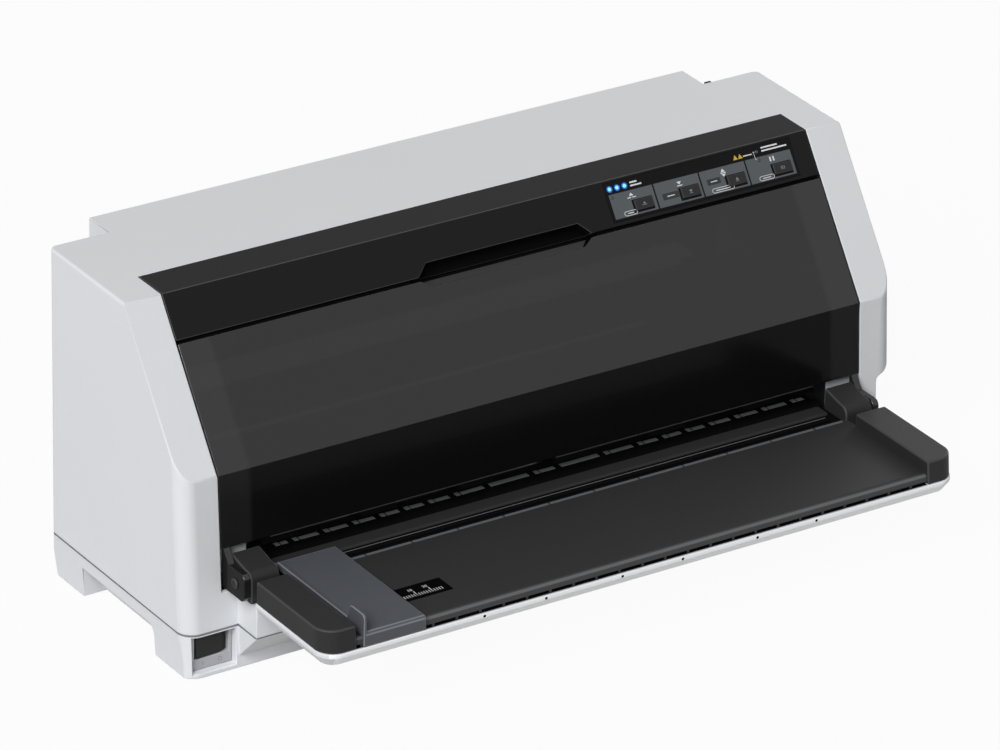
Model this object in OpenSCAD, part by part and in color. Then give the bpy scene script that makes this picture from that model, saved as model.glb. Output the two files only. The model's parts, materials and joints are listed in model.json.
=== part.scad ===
// Wide flatbed dot matrix printer with a hinged smoked front cover and a front sheet tray.
// Millimetres. X runs along the width, Y from the tray to the rear hood, Z up.
// The origin lies on the table surface under the middle of the whole object.

/* [Casing] */
// Width across the side walls
body_w = 480; // [440:1:600]
// Depth from the knees of the cheeks to the rear wall
body_d = 144.5; // [138:0.5:190]
// Height of the flat top above the table
body_h = 206; // [196:1:260]
// Depth of the hood behind the rear wall
hood_d = 22; // [18:0.5:50]
// Wall thickness of the casing shells
wall = 3; // [2.4:0.1:4]
// Height of the parting line between the two shells
parting_z = 28; // [26:0.5:32]
// Radius of the upright outer corners
corner_r = 10; // [6:0.5:16]

/* [Front] */
// Height of the knee where the slope of the front begins
knee_z = 120; // [114:1:132]
// Depth of the slope from the knee to the fold at the top
fold_d = 61; // [54:1:74]
// Width of each white cheek beside the cover
cheek_w = 24; // [20:1:34]
// How far the lower front leans out between the knee and the table
cheek_lean = 8; // [4:0.5:10]
// Length of the black bezel down the slope
bezel_l = 27.2; // [25:0.1:34]
// Depth of the bezel on the flat top
bezel_top_d = 25.3; // [16:0.1:36]
// Height of the lower edge of the front cover
cover_low_z = 76; // [75:0.5:80]
// Thickness of the smoked cover
cover_t = 2.5; // [2:0.1:3.2]

/* [Tray] */
// Reach of the tray in front of the knees
tray_reach = 107.5; // [90:0.5:140]
// Height of the table of the tray
table_z = 61.7; // [61.2:0.1:62.2]
// Width of each raised side arm
arm_w = 20.4; // [16:0.1:26]
// Radius of the front corners of the tray
tray_r = 12; // [8:1:24]
// Width of the sliding edge guide
guide_w = 40; // [34:1:50]

/* [Controls] */
// Width of a panel button
button_w = 12.3; // [10:0.1:15]
// Height of a panel button along the slope
button_h = 6.1; // [5:0.1:8]
// Distance between neighbouring buttons
button_pitch = 32.1; // [28:0.1:34]
// Stroke of a panel button
button_stroke = 0.8; // [0.5:0.1:1.2]

/* [Mechanism] */
// Height of the paper path
paper_z = 61; // [60.5:0.1:61.4]
// Radius of the rubber feed rollers
feed_r = 8; // [7:0.5:9]
// Radius of the pressure rollers above them
pinch_r = 5; // [4:0.5:5.5]
// Radius of the rod that carries the carriage
rod_r = 6; // [4:0.5:7]
// Width of the carriage
carriage_w = 56; // [50:1:64]
// Teeth on each of the three feed gears
feed_teeth = 34; // [34:2:36]
// Teeth on the pinion of the feed motor
pinion_teeth = 12; // [12:2:14]
// Working radius of the belt pulleys
pulley_r = 8; // [7:0.5:9]

/* [Hidden] */
$fn = 64;

// Clearances
fit = 0.3;              // between two pieces that must not touch
run = 0.05;             // radial clearance of a running shaft
eps = 0.01;             // lets a cutting body pass the surface that it cuts

// Colours
white_shell = "#D7D9DC";
grey_shell = "#C5C6CA";
black_plastic = "#2B2B2B";
arm_grey = "#3A3A3A";
guide_grey = "#515357";
panel_grey = "#4A5054";
smoke = "#242424";
steel = "#A9ADB0";
rubber_black = "#1B1B1C";
board_green = "#2F5B45";
gear_white = "#D9D6CC";

// Main planes of the casing
half_w = body_w / 2;
total_d = body_d + hood_d + tray_reach;
rear_y = total_d / 2 - hood_d;
knee_y = rear_y - body_d;
fold_y = knee_y + fold_d;
tray_front_y = knee_y - tray_reach;
case_low_z = 1.5;
open_half = half_w - cheek_w;
bezel_rear_y = fold_y + bezel_top_d;
function front_y(z) = knee_y - cheek_lean * (knee_z - z) / knee_z;

// Plane geometry in the side view, where a point is [y, z]
function unit(v) = v / norm(v);
function right_of(d) = [d[1], -d[0]];
function shifted(a, b, t) = let (n = right_of(unit(b - a))) [a + t * n, b + t * n];
function meet(l, m) =
    let (d = l[1] - l[0], e = m[1] - m[0])
    l[0] + d * cross(m[0] - l[0], e) / cross(d, e);
function inset(p, t) =
    let (n = len(p))
    [for (i = [0:n - 1])
        meet(shifted(p[(i + n - 1) % n], p[i], t), shifted(p[i], p[(i + 1) % n], t))];
function arc(c, r, a, b, n) = [for (i = [0:n]) c + r * [cos(a + (b - a) * i / n), sin(a + (b - a) * i / n)]];

// The slope of the front, measured upwards from the knee
slope_len = norm([fold_d, body_h - knee_z]);
slope_dir = unit([fold_d, body_h - knee_z]);
slope_out = [-slope_dir[1], slope_dir[0]];
slope_angle = atan2(slope_dir[1], slope_dir[0]);
bezel_low_s = slope_len - bezel_l;
cover_top_s = bezel_low_s - 2.2;
function on_slope(s, depth = 0) = [knee_y, knee_z] + s * slope_dir - depth * slope_out;

// Outline of the casing from the bottom of the front, clockwise in the side view
function case_outline(z) = [
    [front_y(z), z], [knee_y, knee_z], [fold_y, body_h], [rear_y, body_h], [rear_y, z]
];
top_edge_r = 2;
rear_corner_r = 5;

// Step in the lower front corner of the right side
step_in = 12.2;
step_rear_y = knee_y + 14;
step_top_z = 74.5;

// Front apron under the tray and the lower case below it
apron_half = open_half - 10;
apron_d = 20.5;
apron_front_y = front_y(parting_z) - apron_d + 0.7;
apron_top_z = 50;
grip_d = 16;
grip_z = 19.5;
grip_r = 6;
grip_front_y = knee_y + 28.5;
grip_rear_y = rear_y - 36;
lower_taper = 1;        // how far each side of the lower shell leans in
lower_lean = 6;         // how far its rear leans in
foot_r = 8;
foot_spots = [for (x = [-1, 1], y = [grip_front_y - 18, grip_rear_y + 17]) [x * (half_w - 22), y]];

// Cover hinge, below the cover at the ends of the opening
hinge_y = knee_y - 16;
hinge_z = 60.5;
hinge_pin_r = 3;
arm_in = open_half - 6.2;
arm_out = open_half - 2;
shoulder_in = open_half - 25;
shoulder_out = arm_in - fit;
shoulder_front_y = hinge_y - 9.7;
finger_half = 51;
finger_flare = 8;
finger_up = 7.2;
finger_down = 4.4;

// Rib between each cheek and the shoulder of the cover
rib_in = shoulder_in + 5;
rib_y = knee_y + 2;
rib_t = 1.5;
rib_top_z = cover_low_z - 1.8;

// Tray
tray_half = half_w - 28.4;
table_half = tray_half - arm_w;
lip_y = tray_front_y + 2;
base_front_y = tray_front_y;
base_taper = 4;
arm_rear_y = hinge_y - 18.5;
table_rear_y = hinge_y - 8.5;
arm_top_z = table_z + 7.6;
base_top_z = table_z - 6.3;
base_low_z = base_top_z - 8.3;
table_t = 2.6;
guide_x = -table_half + 4;
guide_rear_y = hinge_y + 6;
scale_x = guide_x + guide_w + 2.7;
scale_y = tray_front_y + 24;
scale_w = 28.6;
scale_d = 13.4;

// Panel on the right of the bezel, in slope coordinates
panel_x = 74.2;
panel_w = open_half - 12.7 - panel_x;
panel_low_s = bezel_low_s + 2.3;
panel_high_s = slope_len - 1.8;
panel_t = 0.5;
bezel_t = 2.5;
button_x = panel_x + 22.6;
button_s = bezel_low_s + 9.05;
light_r = 1.1;
light_high_s = bezel_low_s + 21.6;
light_low_s = bezel_low_s + 16.6;
light_spots = [
    [panel_x + 3.5, light_high_s], [panel_x + 8.6, light_high_s], [panel_x + 13.7, light_high_s],
    [panel_x + 3.5, light_low_s], [panel_x + 105.2, light_high_s], [panel_x + 105.2, light_low_s]
];
flange_t = 1;
board_depth = bezel_t + fit + flange_t + button_stroke + 0.1 + 2.7;
board_t = 1.6;

// Power switch at the left of the lower front
switch_x = -half_w + 18.5;
switch_w = 22;
switch_h = 14.2;
switch_z = 11.2;
switch_y = front_y(switch_z) + 4.2;
switch_frame_w = 26.5;
switch_frame_low_z = 4.6;
switch_frame_high_z = 25.8;
rocker_pin_d = 5;
rocker_pin_r = 1.2;

// Mechanism, placed from the knees and from the side walls
frame_in = half_w - 36.5;
frame_t = 1.5;
frame_out = frame_in + frame_t;
base_z = 8;
base_top = base_z + 1.5;
front_feed_y = knee_y + 26;
gear_module = 1;
feed_gear_r = feed_teeth * gear_module / 2;
pinion_r = pinion_teeth * gear_module / 2;
idler_y = front_feed_y + 2 * feed_gear_r;
rear_feed_y = idler_y + 2 * feed_gear_r;
feed_z = paper_z - 0.2 - feed_r;
feed_shaft_r = 4;
pinch_shaft_r = 2.5;
pinch_z = paper_z + 0.2 + pinch_r;
pinion_angle = -6 * 360 / feed_teeth;
pinion_y = rear_feed_y + (feed_gear_r + pinion_r) * cos(pinion_angle);
pinion_z = feed_z + (feed_gear_r + pinion_r) * sin(pinion_angle);
gear_x = frame_out + 1.6;
gear_t = 5.5;
head_y = idler_y + 2;
platen_w = 16;
frame_front_y = front_feed_y - 20;
frame_rear_y = rear_feed_y + 34;
frame_top_z = 118;
cartridge_z = 84;
cartridge_seat_z = cartridge_z - 4;
carriage_x = frame_in - 43.5;
carriage_low_z = 72.4;
carriage_high_z = 98;
rod_y = rear_feed_y - 8;
rod_z = 84;
rail_y = front_feed_y + 8;
rail_z = 100;
rail_d = 7;
beam_z = 88;
beam_t = 2;
beam_front_y = rod_y + 12;
beam_rear_y = frame_rear_y - 2;
belt_y = beam_front_y + 12;
belt_z = beam_z + beam_t + 3;
belt_h = 6;
belt_t = 1.2;
pulley_x = frame_in - 20;
motor_r = 18;
tractor_y = frame_rear_y - 9;
tractor_z = paper_z - 9;
tractor_x = frame_in - 74;
tractor_w = 18;
tractor_travel = 60;
tractor_front_y = tractor_y - 16;
tractor_rear_y = tractor_y + 11;
flap_z = tractor_z + 10.4;
flap_t = 2;
flap_pin_r = 1.2;
flap_x = tractor_w / 2 + 2;
lever_x = frame_out + 1;
lever_w = 4;
lever_y = frame_rear_y - 7;
lever_z = body_h - 40;
board_z = 30;
board_front_y = front_feed_y + 16;
board_rear_y = rear_y - wall - 6;
board_x = -150;
board_w = 190;
port_z = board_z + board_t;
slot_low_z = 58;
hood_low_z = 96;
hood_half = half_w - 38.7;
slot_half = frame_in - 14;
inlet_x = frame_in - 23.5;
inlet_z = 42;
supply_x = 60;
supply_top_z = paper_z - 21;

// A bar along X whose side view is the outline p
module bar_x(p, half) {
    rotate([90, 0, 90]) linear_extrude(2 * half, center = true) polygon(p);
}

// A bar along X from x0 to x1
module bar_span(p, x0, x1) {
    translate([(x0 + x1) / 2, 0, 0]) bar_x(p, (x1 - x0) / 2);
}

// A block given by its lowest and highest corners
module block(low, high) {
    translate(low) cube(high - low);
}

// A rod along X
module rod_x(x0, x1, y, z, r) {
    translate([x0, y, z]) rotate([0, 90, 0]) cylinder(r = r, h = x1 - x0);
}

// Both ends of the width
module both_ends() {
    children();
    mirror([1, 0, 0]) children();
}

// The frame of the slope: x along the width, y up the slope, z out of the surface
module slope_frame() {
    translate([0, knee_y, knee_z]) rotate([slope_angle, 0, 0]) children();
}

// Removes the corner between the end face at x = half and the face along the edge p to q
module corner_cut(p, q, r, half) {
    reach = 2 * r;
    translate([half, p[0], p[1]])
        rotate([atan2(p[0] - q[0], q[1] - p[1]), 0, 0])
        translate([0, 0, -reach])
        difference() {
            translate([-r, -r, 0]) cube([2 * r, 2 * r, norm(q - p) + 2 * reach]);
            translate([-r, r, -1]) cylinder(r = r, h = norm(q - p) + 2 * reach + 2);
        }
}

// The body of the casing inside its surface by t, open or closed at height z
module case_form(t, z) {
    p = inset(case_outline(z), t);
    difference() {
        bar_x(p, half_w - t);
        both_ends() {
            corner_cut(p[0], p[1], corner_r - t, half_w - t);
            corner_cut(p[3], p[4], rear_corner_r - t, half_w - t);
            if (t < top_edge_r) corner_cut(p[2], p[3], top_edge_r - t, half_w - t);
        }
    }
}

// A flat ring of plate with four plain sides
module frame_plate(w, d, t, rim) {
    difference() {
        translate([-w / 2, -d / 2, 0]) cube([w, d, t]);
        translate([-w / 2 + rim, -d / 2 + rim, -1]) cube([w - 2 * rim, d - 2 * rim, t + 2]);
    }
}

// A spur gear along X with its first tooth towards +Y, turned by phase
module spur_gear(teeth, x0, x1, bore, phase) {
    r = teeth * gear_module / 2;
    step = 360 / teeth;
    tip = gear_module * 0.82;
    root = gear_module * 1.15;
    half_tip = 0.3 * gear_module / (r + tip) * 180 / PI;
    half_mid = 0.58 * gear_module / r * 180 / PI;
    half_root = 0.95 * gear_module / (r - root) * 180 / PI;
    rim = [for (i = [0:teeth - 1], k = [0:5])
        let (a = phase + i * step + [-half_root, -half_mid, -half_tip, half_tip, half_mid, half_root][k])
        [r - root, r, r + tip, r + tip, r, r - root][k] * [cos(a), sin(a)]];
    translate([x0, 0, 0]) rotate([90, 0, 90]) linear_extrude(x1 - x0) difference() {
        polygon(rim);
        circle(r = bore);
    }
}

// Inner space of the lower shell, which keeps a floor and the walls round the hand grips
module lower_hollow() {
    difference() {
        translate([0, 0, wall]) case_form(wall, case_low_z - 4);
        block([-body_w, -total_d, -body_w], [body_w, total_d, case_low_z + wall]);
        both_ends() block(
            [half_w - grip_d - wall, grip_front_y - wall, 0],
            [half_w, grip_rear_y + wall, grip_z + wall - 0.5]);
        block([switch_x - 16, -total_d, 0], [switch_x + 16, switch_y + wall + 2, parting_z + 1]);
    }
}

module lower_case() {
    top_z = parting_z - fit;
    inner = inset(case_outline(case_low_z - wall), wall);
    bottom_half = half_w - lower_taper;
    lean_in = wall + 0.3;
    color(white_shell) difference() {
        union() {
            intersection() {
                case_form(0, case_low_z);
                bar_x([
                    [-total_d, case_low_z], [-total_d, parting_z], [rear_y, parting_z],
                    [rear_y - lower_lean, case_low_z]], body_w);
                rotate([90, 0, 0]) linear_extrude(2 * total_d, center = true) polygon([
                    [-bottom_half, case_low_z], [-half_w, parting_z], [half_w, parting_z],
                    [bottom_half, case_low_z]]);
                block([-body_w, -total_d, 0], [body_w, total_d, top_z]);
            }
            // seat of the power switch
            intersection() {
                case_form(0, case_low_z);
                block([switch_x - 16, -total_d, case_low_z], [switch_x + 16, switch_y + wall + 2, top_z]);
            }
            // ramp below the apron
            bar_x([[front_y(9), 9], [apron_front_y, top_z], [front_y(9) + 5, top_z]], apron_half);
        }
        intersection() {
            lower_hollow();
            bar_x(inner, bottom_half - wall);
            bar_x([
                [-total_d, 0], [-total_d, body_w],
                [rear_y - lean_in, body_w], [rear_y - lean_in, parting_z],
                [rear_y - lower_lean - lean_in, case_low_z], [rear_y - lower_lean - lean_in, 0]], body_w);
        }
        // inside of the ramp
        bar_x([
            [front_y(12) + wall, 12], [apron_front_y + 2 * wall, top_z + eps],
            [front_y(12) + 3 * wall, top_z + eps]], apron_half - wall);
        // hand grips in both sides
        both_ends() bar_span(concat(
            [[grip_rear_y, 0], [grip_front_y, 0]],
            arc([grip_front_y + grip_r + 1, grip_z - grip_r], grip_r, 180, 90, 8),
            [[grip_rear_y, grip_z]]), half_w - grip_d, half_w + 1);
        // recess and opening of the power switch
        block(
            [switch_x - switch_frame_w / 2 - fit, switch_y - 9, switch_frame_low_z - fit],
            [switch_x + switch_frame_w / 2 + fit, switch_y + 0.8 * wall, switch_frame_high_z + fit]);
        block(
            [switch_x - switch_w / 2 - 1, switch_y, switch_z - 1],
            [switch_x + switch_w / 2 + 1, switch_y + 12, switch_z + switch_h + 0.4]);
        // seats of the feet
        for (s = foot_spots) translate([s[0], s[1], 0]) cylinder(r = foot_r + 0.2, h = case_low_z + 1.5);
        // holes of the screws that hold the frame
        for (x = [-1, 1], y = [frame_front_y + 14, frame_rear_y - 12])
            translate([x * (frame_in - 14), y, 0]) cylinder(r = 2.2, h = 20);
    }
    // posts that carry the base plate
    color(white_shell) for (x = [-1, 1], y = [frame_front_y + 14, frame_rear_y - 12])
        translate([x * (frame_in - 14), y, case_low_z + wall - eps]) difference() {
            cylinder(r = 6, h = base_z - case_low_z - wall + eps);
            translate([0, 0, -1]) cylinder(r = 2.2, h = 20);
        }
}

module upper_case() {
    z0 = parting_z;
    color(white_shell) difference() {
        union() {
            difference() {
                case_form(0, z0);
                case_form(wall, z0 - 2 * wall);
                // opening of the bezel and the cover
                block([-open_half, -total_d, apron_top_z], [open_half, bezel_rear_y, body_h + 1]);
            }
            // inner walls of the cheeks
            both_ends() intersection() {
                bar_span(case_outline(z0), open_half, open_half + 2.5);
                block([0, -total_d, 0], [body_w, bezel_rear_y + wall, body_w]);
            }
            // apron that carries the tray
            bar_x([
                [apron_front_y, z0], [apron_front_y, apron_top_z], [front_y(z0) + 6, apron_top_z],
                [front_y(z0) + 6, z0]], apron_half);
            // rib behind each shoulder, which shows below the cover
            both_ends() block([rib_in, rib_y, slot_low_z], [open_half + eps, rib_y + rib_t, rib_top_z]);
            // solid corner that the step is cut from
            intersection() {
                case_form(0, z0);
                block(
                    [half_w - step_in - wall, -total_d, z0],
                    [half_w + 1, step_rear_y + wall, step_top_z + wall]);
            }
            // hood over the rear paper path
            block([-hood_half, rear_y - wall, hood_low_z], [hood_half, rear_y + hood_d, body_h]);
        }
        // inside of the apron
        block(
            [-apron_half + wall, apron_front_y + wall, z0 - 1],
            [apron_half - wall, front_y(z0) + 7, apron_top_z - wall]);
        block(
            [-apron_half + wall, front_y(z0) - 4, z0 - 1],
            [apron_half - wall, front_y(z0) + 7, apron_top_z + 1]);
        // inside of the hood and the paper slot below it
        block(
            [-hood_half + wall, rear_y - wall - 1, hood_low_z - 1],
            [hood_half - wall, rear_y + hood_d - wall, body_h - wall]);
        block(
            [-slot_half, rear_y - wall - 1, slot_low_z], [slot_half, rear_y + 1, hood_low_z + 1]);
        // step in the lower front corner of the right side
        translate([0, step_rear_y, 0]) rotate([90, 0, 0]) linear_extrude(total_d) polygon([
            [half_w - step_in, z0 - 1], [half_w + 1, z0 - 1], [half_w + 1, step_top_z + 1],
            [half_w - 2.5, step_top_z], [half_w - 0.5 * step_in, step_top_z - 2.3],
            [half_w - 0.8 * step_in, step_top_z - 3.4], [half_w - 0.96 * step_in, step_top_z - 5],
            [half_w - step_in, step_top_z - 7.5]]);
        // openings of the sockets in the rear wall
        inlet_opening();
        port_openings();
        // slot of the release lever
        block(
            [lever_x - 1, rear_y - wall - 1, lever_z + 4],
            [lever_x + lever_w + 1, rear_y + 1, body_h - 5]);
    }
}

module inlet_opening() {
    block(
        [inlet_x - 14, rear_y - wall - 1, inlet_z - 10.2],
        [inlet_x + 14, rear_y + 1, inlet_z + 10.2]);
}

module port_openings() {
    block([-70.5, rear_y - wall - 1, port_z - 0.5], [-13.5, rear_y + 1, port_z + 13]);
    block([-0.5, rear_y - wall - 1, port_z - 0.5], [12.5, rear_y + 1, port_z + 11.5]);
}

// Outline of the finger recess on the slope, grown by g
function finger_outline(g) = [
    [-finger_half - g, bezel_low_s + finger_up + g], [finger_half + g, bezel_low_s + finger_up + g],
    [finger_half + finger_flare + g, bezel_low_s - 1], [finger_half + finger_flare + g, cover_top_s + 1],
    [finger_half + g, cover_top_s - finger_down - g], [-finger_half - g, cover_top_s - finger_down - g],
    [-finger_half - finger_flare - g, cover_top_s + 1], [-finger_half - finger_flare - g, bezel_low_s - 1]
];

// Runs its children at the place of each panel button, in the slope frame
module at_buttons() {
    for (i = [0:3]) translate([button_x + i * button_pitch, button_s, 0]) children();
}

module front_bezel() {
    fold_in = meet(
        [on_slope(0, bezel_t), on_slope(slope_len, bezel_t)],
        [[0, body_h - bezel_t], [1, body_h - bezel_t]]);
    color(black_plastic) difference() {
        union() {
            bar_x([
                on_slope(bezel_low_s), [fold_y, body_h], [bezel_rear_y - fit, body_h],
                [bezel_rear_y - fit, body_h - bezel_t], fold_in, on_slope(bezel_low_s, bezel_t)],
                open_half - fit);
            // pocket behind the finger recess
            slope_frame() difference() {
                block([-finger_half - 11, bezel_low_s, -11], [finger_half + 11, bezel_low_s + 10.5, -1]);
                translate([0, 0, -9.5]) linear_extrude(12) polygon(finger_outline(0));
            }
            // posts of the panel board
            slope_frame()
                for (x = [panel_x + 8, button_x + 2.5 * button_pitch], s = [bezel_low_s + 6, slope_len - 5])
                    translate([x, s, -board_depth]) cylinder(r = 2, h = board_depth - 1);
        }
        slope_frame() {
            translate([0, 0, -9.5]) linear_extrude(12) polygon(finger_outline(0));
            // seat of the panel plate
            block(
                [panel_x - 0.2, panel_low_s - 0.2, -panel_t],
                [panel_x + panel_w + 0.2, panel_high_s + 0.2, 1]);
            at_buttons() translate([-button_w / 2 - fit, -button_h / 2 - fit, -bezel_t - 1])
                cube([button_w + 2 * fit, button_h + 2 * fit, bezel_t + 2]);
        }
    }
}

module panel_plate() {
    color(panel_grey) slope_frame() difference() {
        block([panel_x, panel_low_s, -panel_t], [panel_x + panel_w, panel_high_s, 0]);
        at_buttons() translate([-button_w / 2 - fit, -button_h / 2 - fit, -1])
            cube([button_w + 2 * fit, button_h + 2 * fit, 2]);
        for (s = light_spots) translate([s[0], s[1], -1]) cylinder(r = light_r + 0.1, h = 2, $fn = 24);
    }
}

module indicator_lights() {
    color("#3B7BFF") slope_frame() for (s = light_spots)
        translate([s[0], s[1], -panel_t]) cylinder(r = light_r, h = panel_t + 0.2, $fn = 24);
}

module panel_board() {
    stem = board_depth - bezel_t - fit - flange_t - button_stroke - 0.1;
    color(board_green) slope_frame() {
        block(
            [panel_x + 2, bezel_low_s + 3, -board_depth - board_t],
            [panel_x + panel_w - 2, slope_len - 3, -board_depth]);
        at_buttons() translate([-3, -3, -board_depth - eps]) cube([6, 6, stem + eps]);
    }
}

// A panel button with the flange that keeps it behind the bezel
module panel_button(i) {
    color(black_plastic) slope_frame() translate([button_x + i * button_pitch, button_s, 0]) {
        block([-button_w / 2, -button_h / 2, -bezel_t - fit - eps], [button_w / 2, button_h / 2, 0.9]);
        block(
            [-button_w / 2 - 1, -button_h / 2 - 1, -bezel_t - fit - flange_t],
            [button_w / 2 + 1, button_h / 2 + 1, -bezel_t - fit]);
    }
}

module tear_off_button() {
    panel_button(0);
}

module line_feed_button() {
    panel_button(1);
}

module load_eject_button() {
    panel_button(2);
}

module pause_button() {
    panel_button(3);
}

// Side view of the cover as a strip of thickness t
function cover_strip(t) =
    let (
        low = [front_y(cover_low_z), cover_low_z],
        knee = [knee_y, knee_z],
        top = on_slope(cover_top_s),
        lower_in = shifted(low, knee, t),
        upper_in = shifted(knee, top, t))
    [
        low, knee, top, upper_in[1], meet(lower_in, upper_in),
        meet(lower_in, [[0, cover_low_z], [1, cover_low_z]])
    ];

module front_cover() {
    low_y = front_y(cover_low_z);
    color(smoke) difference() {
        union() {
            bar_x(cover_strip(cover_t), open_half - 2 * fit);
            // returns along both ends
            both_ends() bar_span(cover_strip(9), open_half - 2 * fit - 2, open_half - 2 * fit);
            // ledge below the finger recess
            slope_frame() block(
                [-finger_half, cover_top_s - finger_down - 2, -8],
                [finger_half, cover_top_s - finger_down, -cover_t + eps]);
            // hinge arms
            both_ends() bar_span(concat(
                arc([hinge_y - 5.7, hinge_z + 4.2], 4, 90, 180, 6),
                arc([hinge_y - 5.7, hinge_z - 4.5], 4, 180, 270, 6),
                [
                    [low_y, hinge_z - 8.5], [low_y + 2, hinge_z - 6.5], [low_y + 2, cover_low_z + 4],
                    [front_y(cover_low_z + 4), cover_low_z + 4], [low_y, cover_low_z],
                    [low_y - 6, hinge_z + 8.2]
                ]), arm_in, arm_out);
        }
        slope_frame() translate([0, 0, -cover_t - 1]) linear_extrude(cover_t + 3) intersection() {
            polygon(finger_outline(0));
            translate([-body_w, 0]) square([2 * body_w, cover_top_s + 5]);
        }
        both_ends() rod_x(arm_in - 1, arm_out + 1, hinge_y, hinge_z, hinge_pin_r + run);
    }
}

module cover_tear_edge() {
    low_y = front_y(cover_low_z + 4) + cover_t;
    pitch = 4;
    n = floor((2 * shoulder_in - 4) / pitch);
    color("#8B8E90") translate([-n * pitch / 2, low_y + fit, cover_low_z - 1.2]) rotate([90, 0, 0])
        translate([0, 0, -0.5]) linear_extrude(0.5) polygon(concat(
            [for (i = [0:n - 1], k = [0, 1]) [(i + k / 2) * pitch, k == 0 ? 0 : 1]],
            [[n * pitch, 0], [n * pitch, 8], [0, 8]]));
}

// The fixed shoulder at one end of the cover, with the pin that the cover turns on
module shoulder() {
    rear = front_y(cover_low_z) - 0.4;
    front = shoulder_front_y;
    color(arm_grey) {
        bar_span(concat(
            [[rear, apron_top_z], [rear, hinge_z + 12], [hinge_y - 1, hinge_z + 9]],
            arc([front + 6, hinge_z + 2.6], 6, 90, 180, 8),
            [[front, apron_top_z]]), shoulder_in, shoulder_out);
        rod_x(shoulder_out - eps, open_half - 0.8, hinge_y, hinge_z, hinge_pin_r);
    }
}

module left_shoulder() {
    mirror([1, 0, 0]) shoulder();
}

module right_shoulder() {
    shoulder();
}

// Plan of the tray, with rounded front corners, from the front to y
module tray_plan(half, front, y, r) {
    translate([-half, front + r]) square([2 * half, y - front - r]);
    translate([-half + r, front]) square([2 * (half - r), r + 1]);
    for (x = [-1, 1]) translate([x * (half - r), front + r]) circle(r = r);
}

module tray_table() {
    slot_pitch = 17;
    posts = floor(table_half / slot_pitch);
    color(arm_grey) {
        difference() {
            union() {
                // table with its rounded front lip
                bar_x(concat(
                    [[table_rear_y, table_z - table_t], [table_rear_y, table_z]],
                    arc([lip_y + 4.5, table_z - 4.5], 4.5, 90, 180, 8),
                    [
                        [lip_y, table_z - 4.9], [lip_y + 2, table_z - 4.9],
                        [lip_y + 4, table_z - table_t]
                    ]), table_half + 1);
                // side arms
                intersection() {
                    translate([0, 0, base_top_z]) linear_extrude(arm_top_z - base_top_z)
                        tray_plan(tray_half, tray_front_y, arm_rear_y, tray_r);
                    both_ends() bar_span([
                        [tray_front_y, base_top_z], [lip_y, arm_top_z], [arm_rear_y, arm_top_z],
                        [arm_rear_y, base_top_z]], table_half, tray_half);
                }
            }
            // seat of the printed scale
            block(
                [scale_x - 0.2, scale_y - 0.2, table_z - 0.3],
                [scale_x + scale_w + 0.2, scale_y + scale_d + 0.2, table_z + 1]);
            // room for the shoulders
            both_ends() block(
                [shoulder_in - fit, shoulder_front_y - fit, 0], [body_w, total_d, body_w]);
        }
        // ribs between the table and the base
        for (i = [-posts:posts]) block(
            [i * slot_pitch - 1.2, lip_y + 1.5, base_top_z],
            [i * slot_pitch + 1.2, lip_y + 5, table_z - table_t + eps]);
        // tongues that rest on the apron
        for (x = [-0.8, 0, 0.8]) {
            block(
                [x * table_half - 6, apron_front_y + fit, apron_top_z],
                [x * table_half + 6, table_rear_y, table_z - table_t + eps]);
            block(
                [x * table_half - 6, apron_front_y - 6, base_top_z],
                [x * table_half + 6, table_rear_y, table_z - table_t + eps]);
        }
    }
}

module tray_base() {
    hole_x = [for (k = [-1:1], s = [-1, 1]) 2 + 91 * k + 20.2 * s];
    rear = apron_front_y - fit;
    half = tray_half + 0.3;
    rim_z = base_top_z - 2.5;
    color(white_shell) difference() {
        intersection() {
            translate([0, 0, base_low_z]) linear_extrude(base_top_z - base_low_z) union() {
                tray_plan(half, base_front_y, arm_rear_y, tray_r);
                translate([-apron_half, arm_rear_y - 1]) square([2 * apron_half, rear - arm_rear_y + 1]);
            }
            // the underside narrows towards the floor
            bar_x([
                [base_front_y + base_taper, base_low_z], [base_front_y, rim_z], [base_front_y, base_top_z],
                [rear, base_top_z], [rear, base_low_z]], body_w);
            rotate([90, 0, 0]) linear_extrude(2 * total_d, center = true) polygon([
                [base_taper - half, base_low_z], [-half, rim_z], [-half, base_top_z], [half, base_top_z],
                [half, rim_z], [half - base_taper, base_low_z]]);
        }
        // hollow above the floor
        block(
            [-tray_half + 24, base_front_y + 8, base_low_z + 2],
            [tray_half - 24, rear - 4, base_top_z + 1]);
        // row of small holes in the front edge
        for (x = hole_x) translate([x, base_front_y + 3, base_low_z + 6.6]) rotate([90, 0, 0])
            cylinder(r = 0.9, h = 4, $fn = 24);
    }
}

module tray_scale() {
    color("#101011") block(
        [scale_x, scale_y, table_z - 0.3], [scale_x + scale_w, scale_y + scale_d, table_z]);
}

module edge_guide() {
    low = table_z + fit;
    top = low + 2.4;
    front = tray_front_y;
    color(guide_grey) {
        bar_span([
            [guide_rear_y, low], [guide_rear_y - 3, top], [front + 1.5, top], [front, top - 1.5],
            [front, base_top_z + 0.6], [front + 1.7, base_top_z + 0.6], [front + 1.7, table_z - 4],
            [front + 2 + 4.5 - 4.2, low]
        ], guide_x, guide_x + guide_w);
        // fence with its tall front tab
        block([guide_x, front + 6, top - eps], [guide_x + 1.6, guide_rear_y - 6, top + 2.2]);
        block([guide_x, front, base_top_z + 0.6], [guide_x + 1.6, front + 1.7, top + 6]);
        bar_span(concat(
            [[front, top - eps]],
            arc([front + 3, top + 8], 3, 180, 90, 6),
            arc([front + 13, top + 8], 3, 90, 0, 6),
            [[front + 19, top - eps]]), guide_x, guide_x + 1.6);
    }
}

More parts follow.
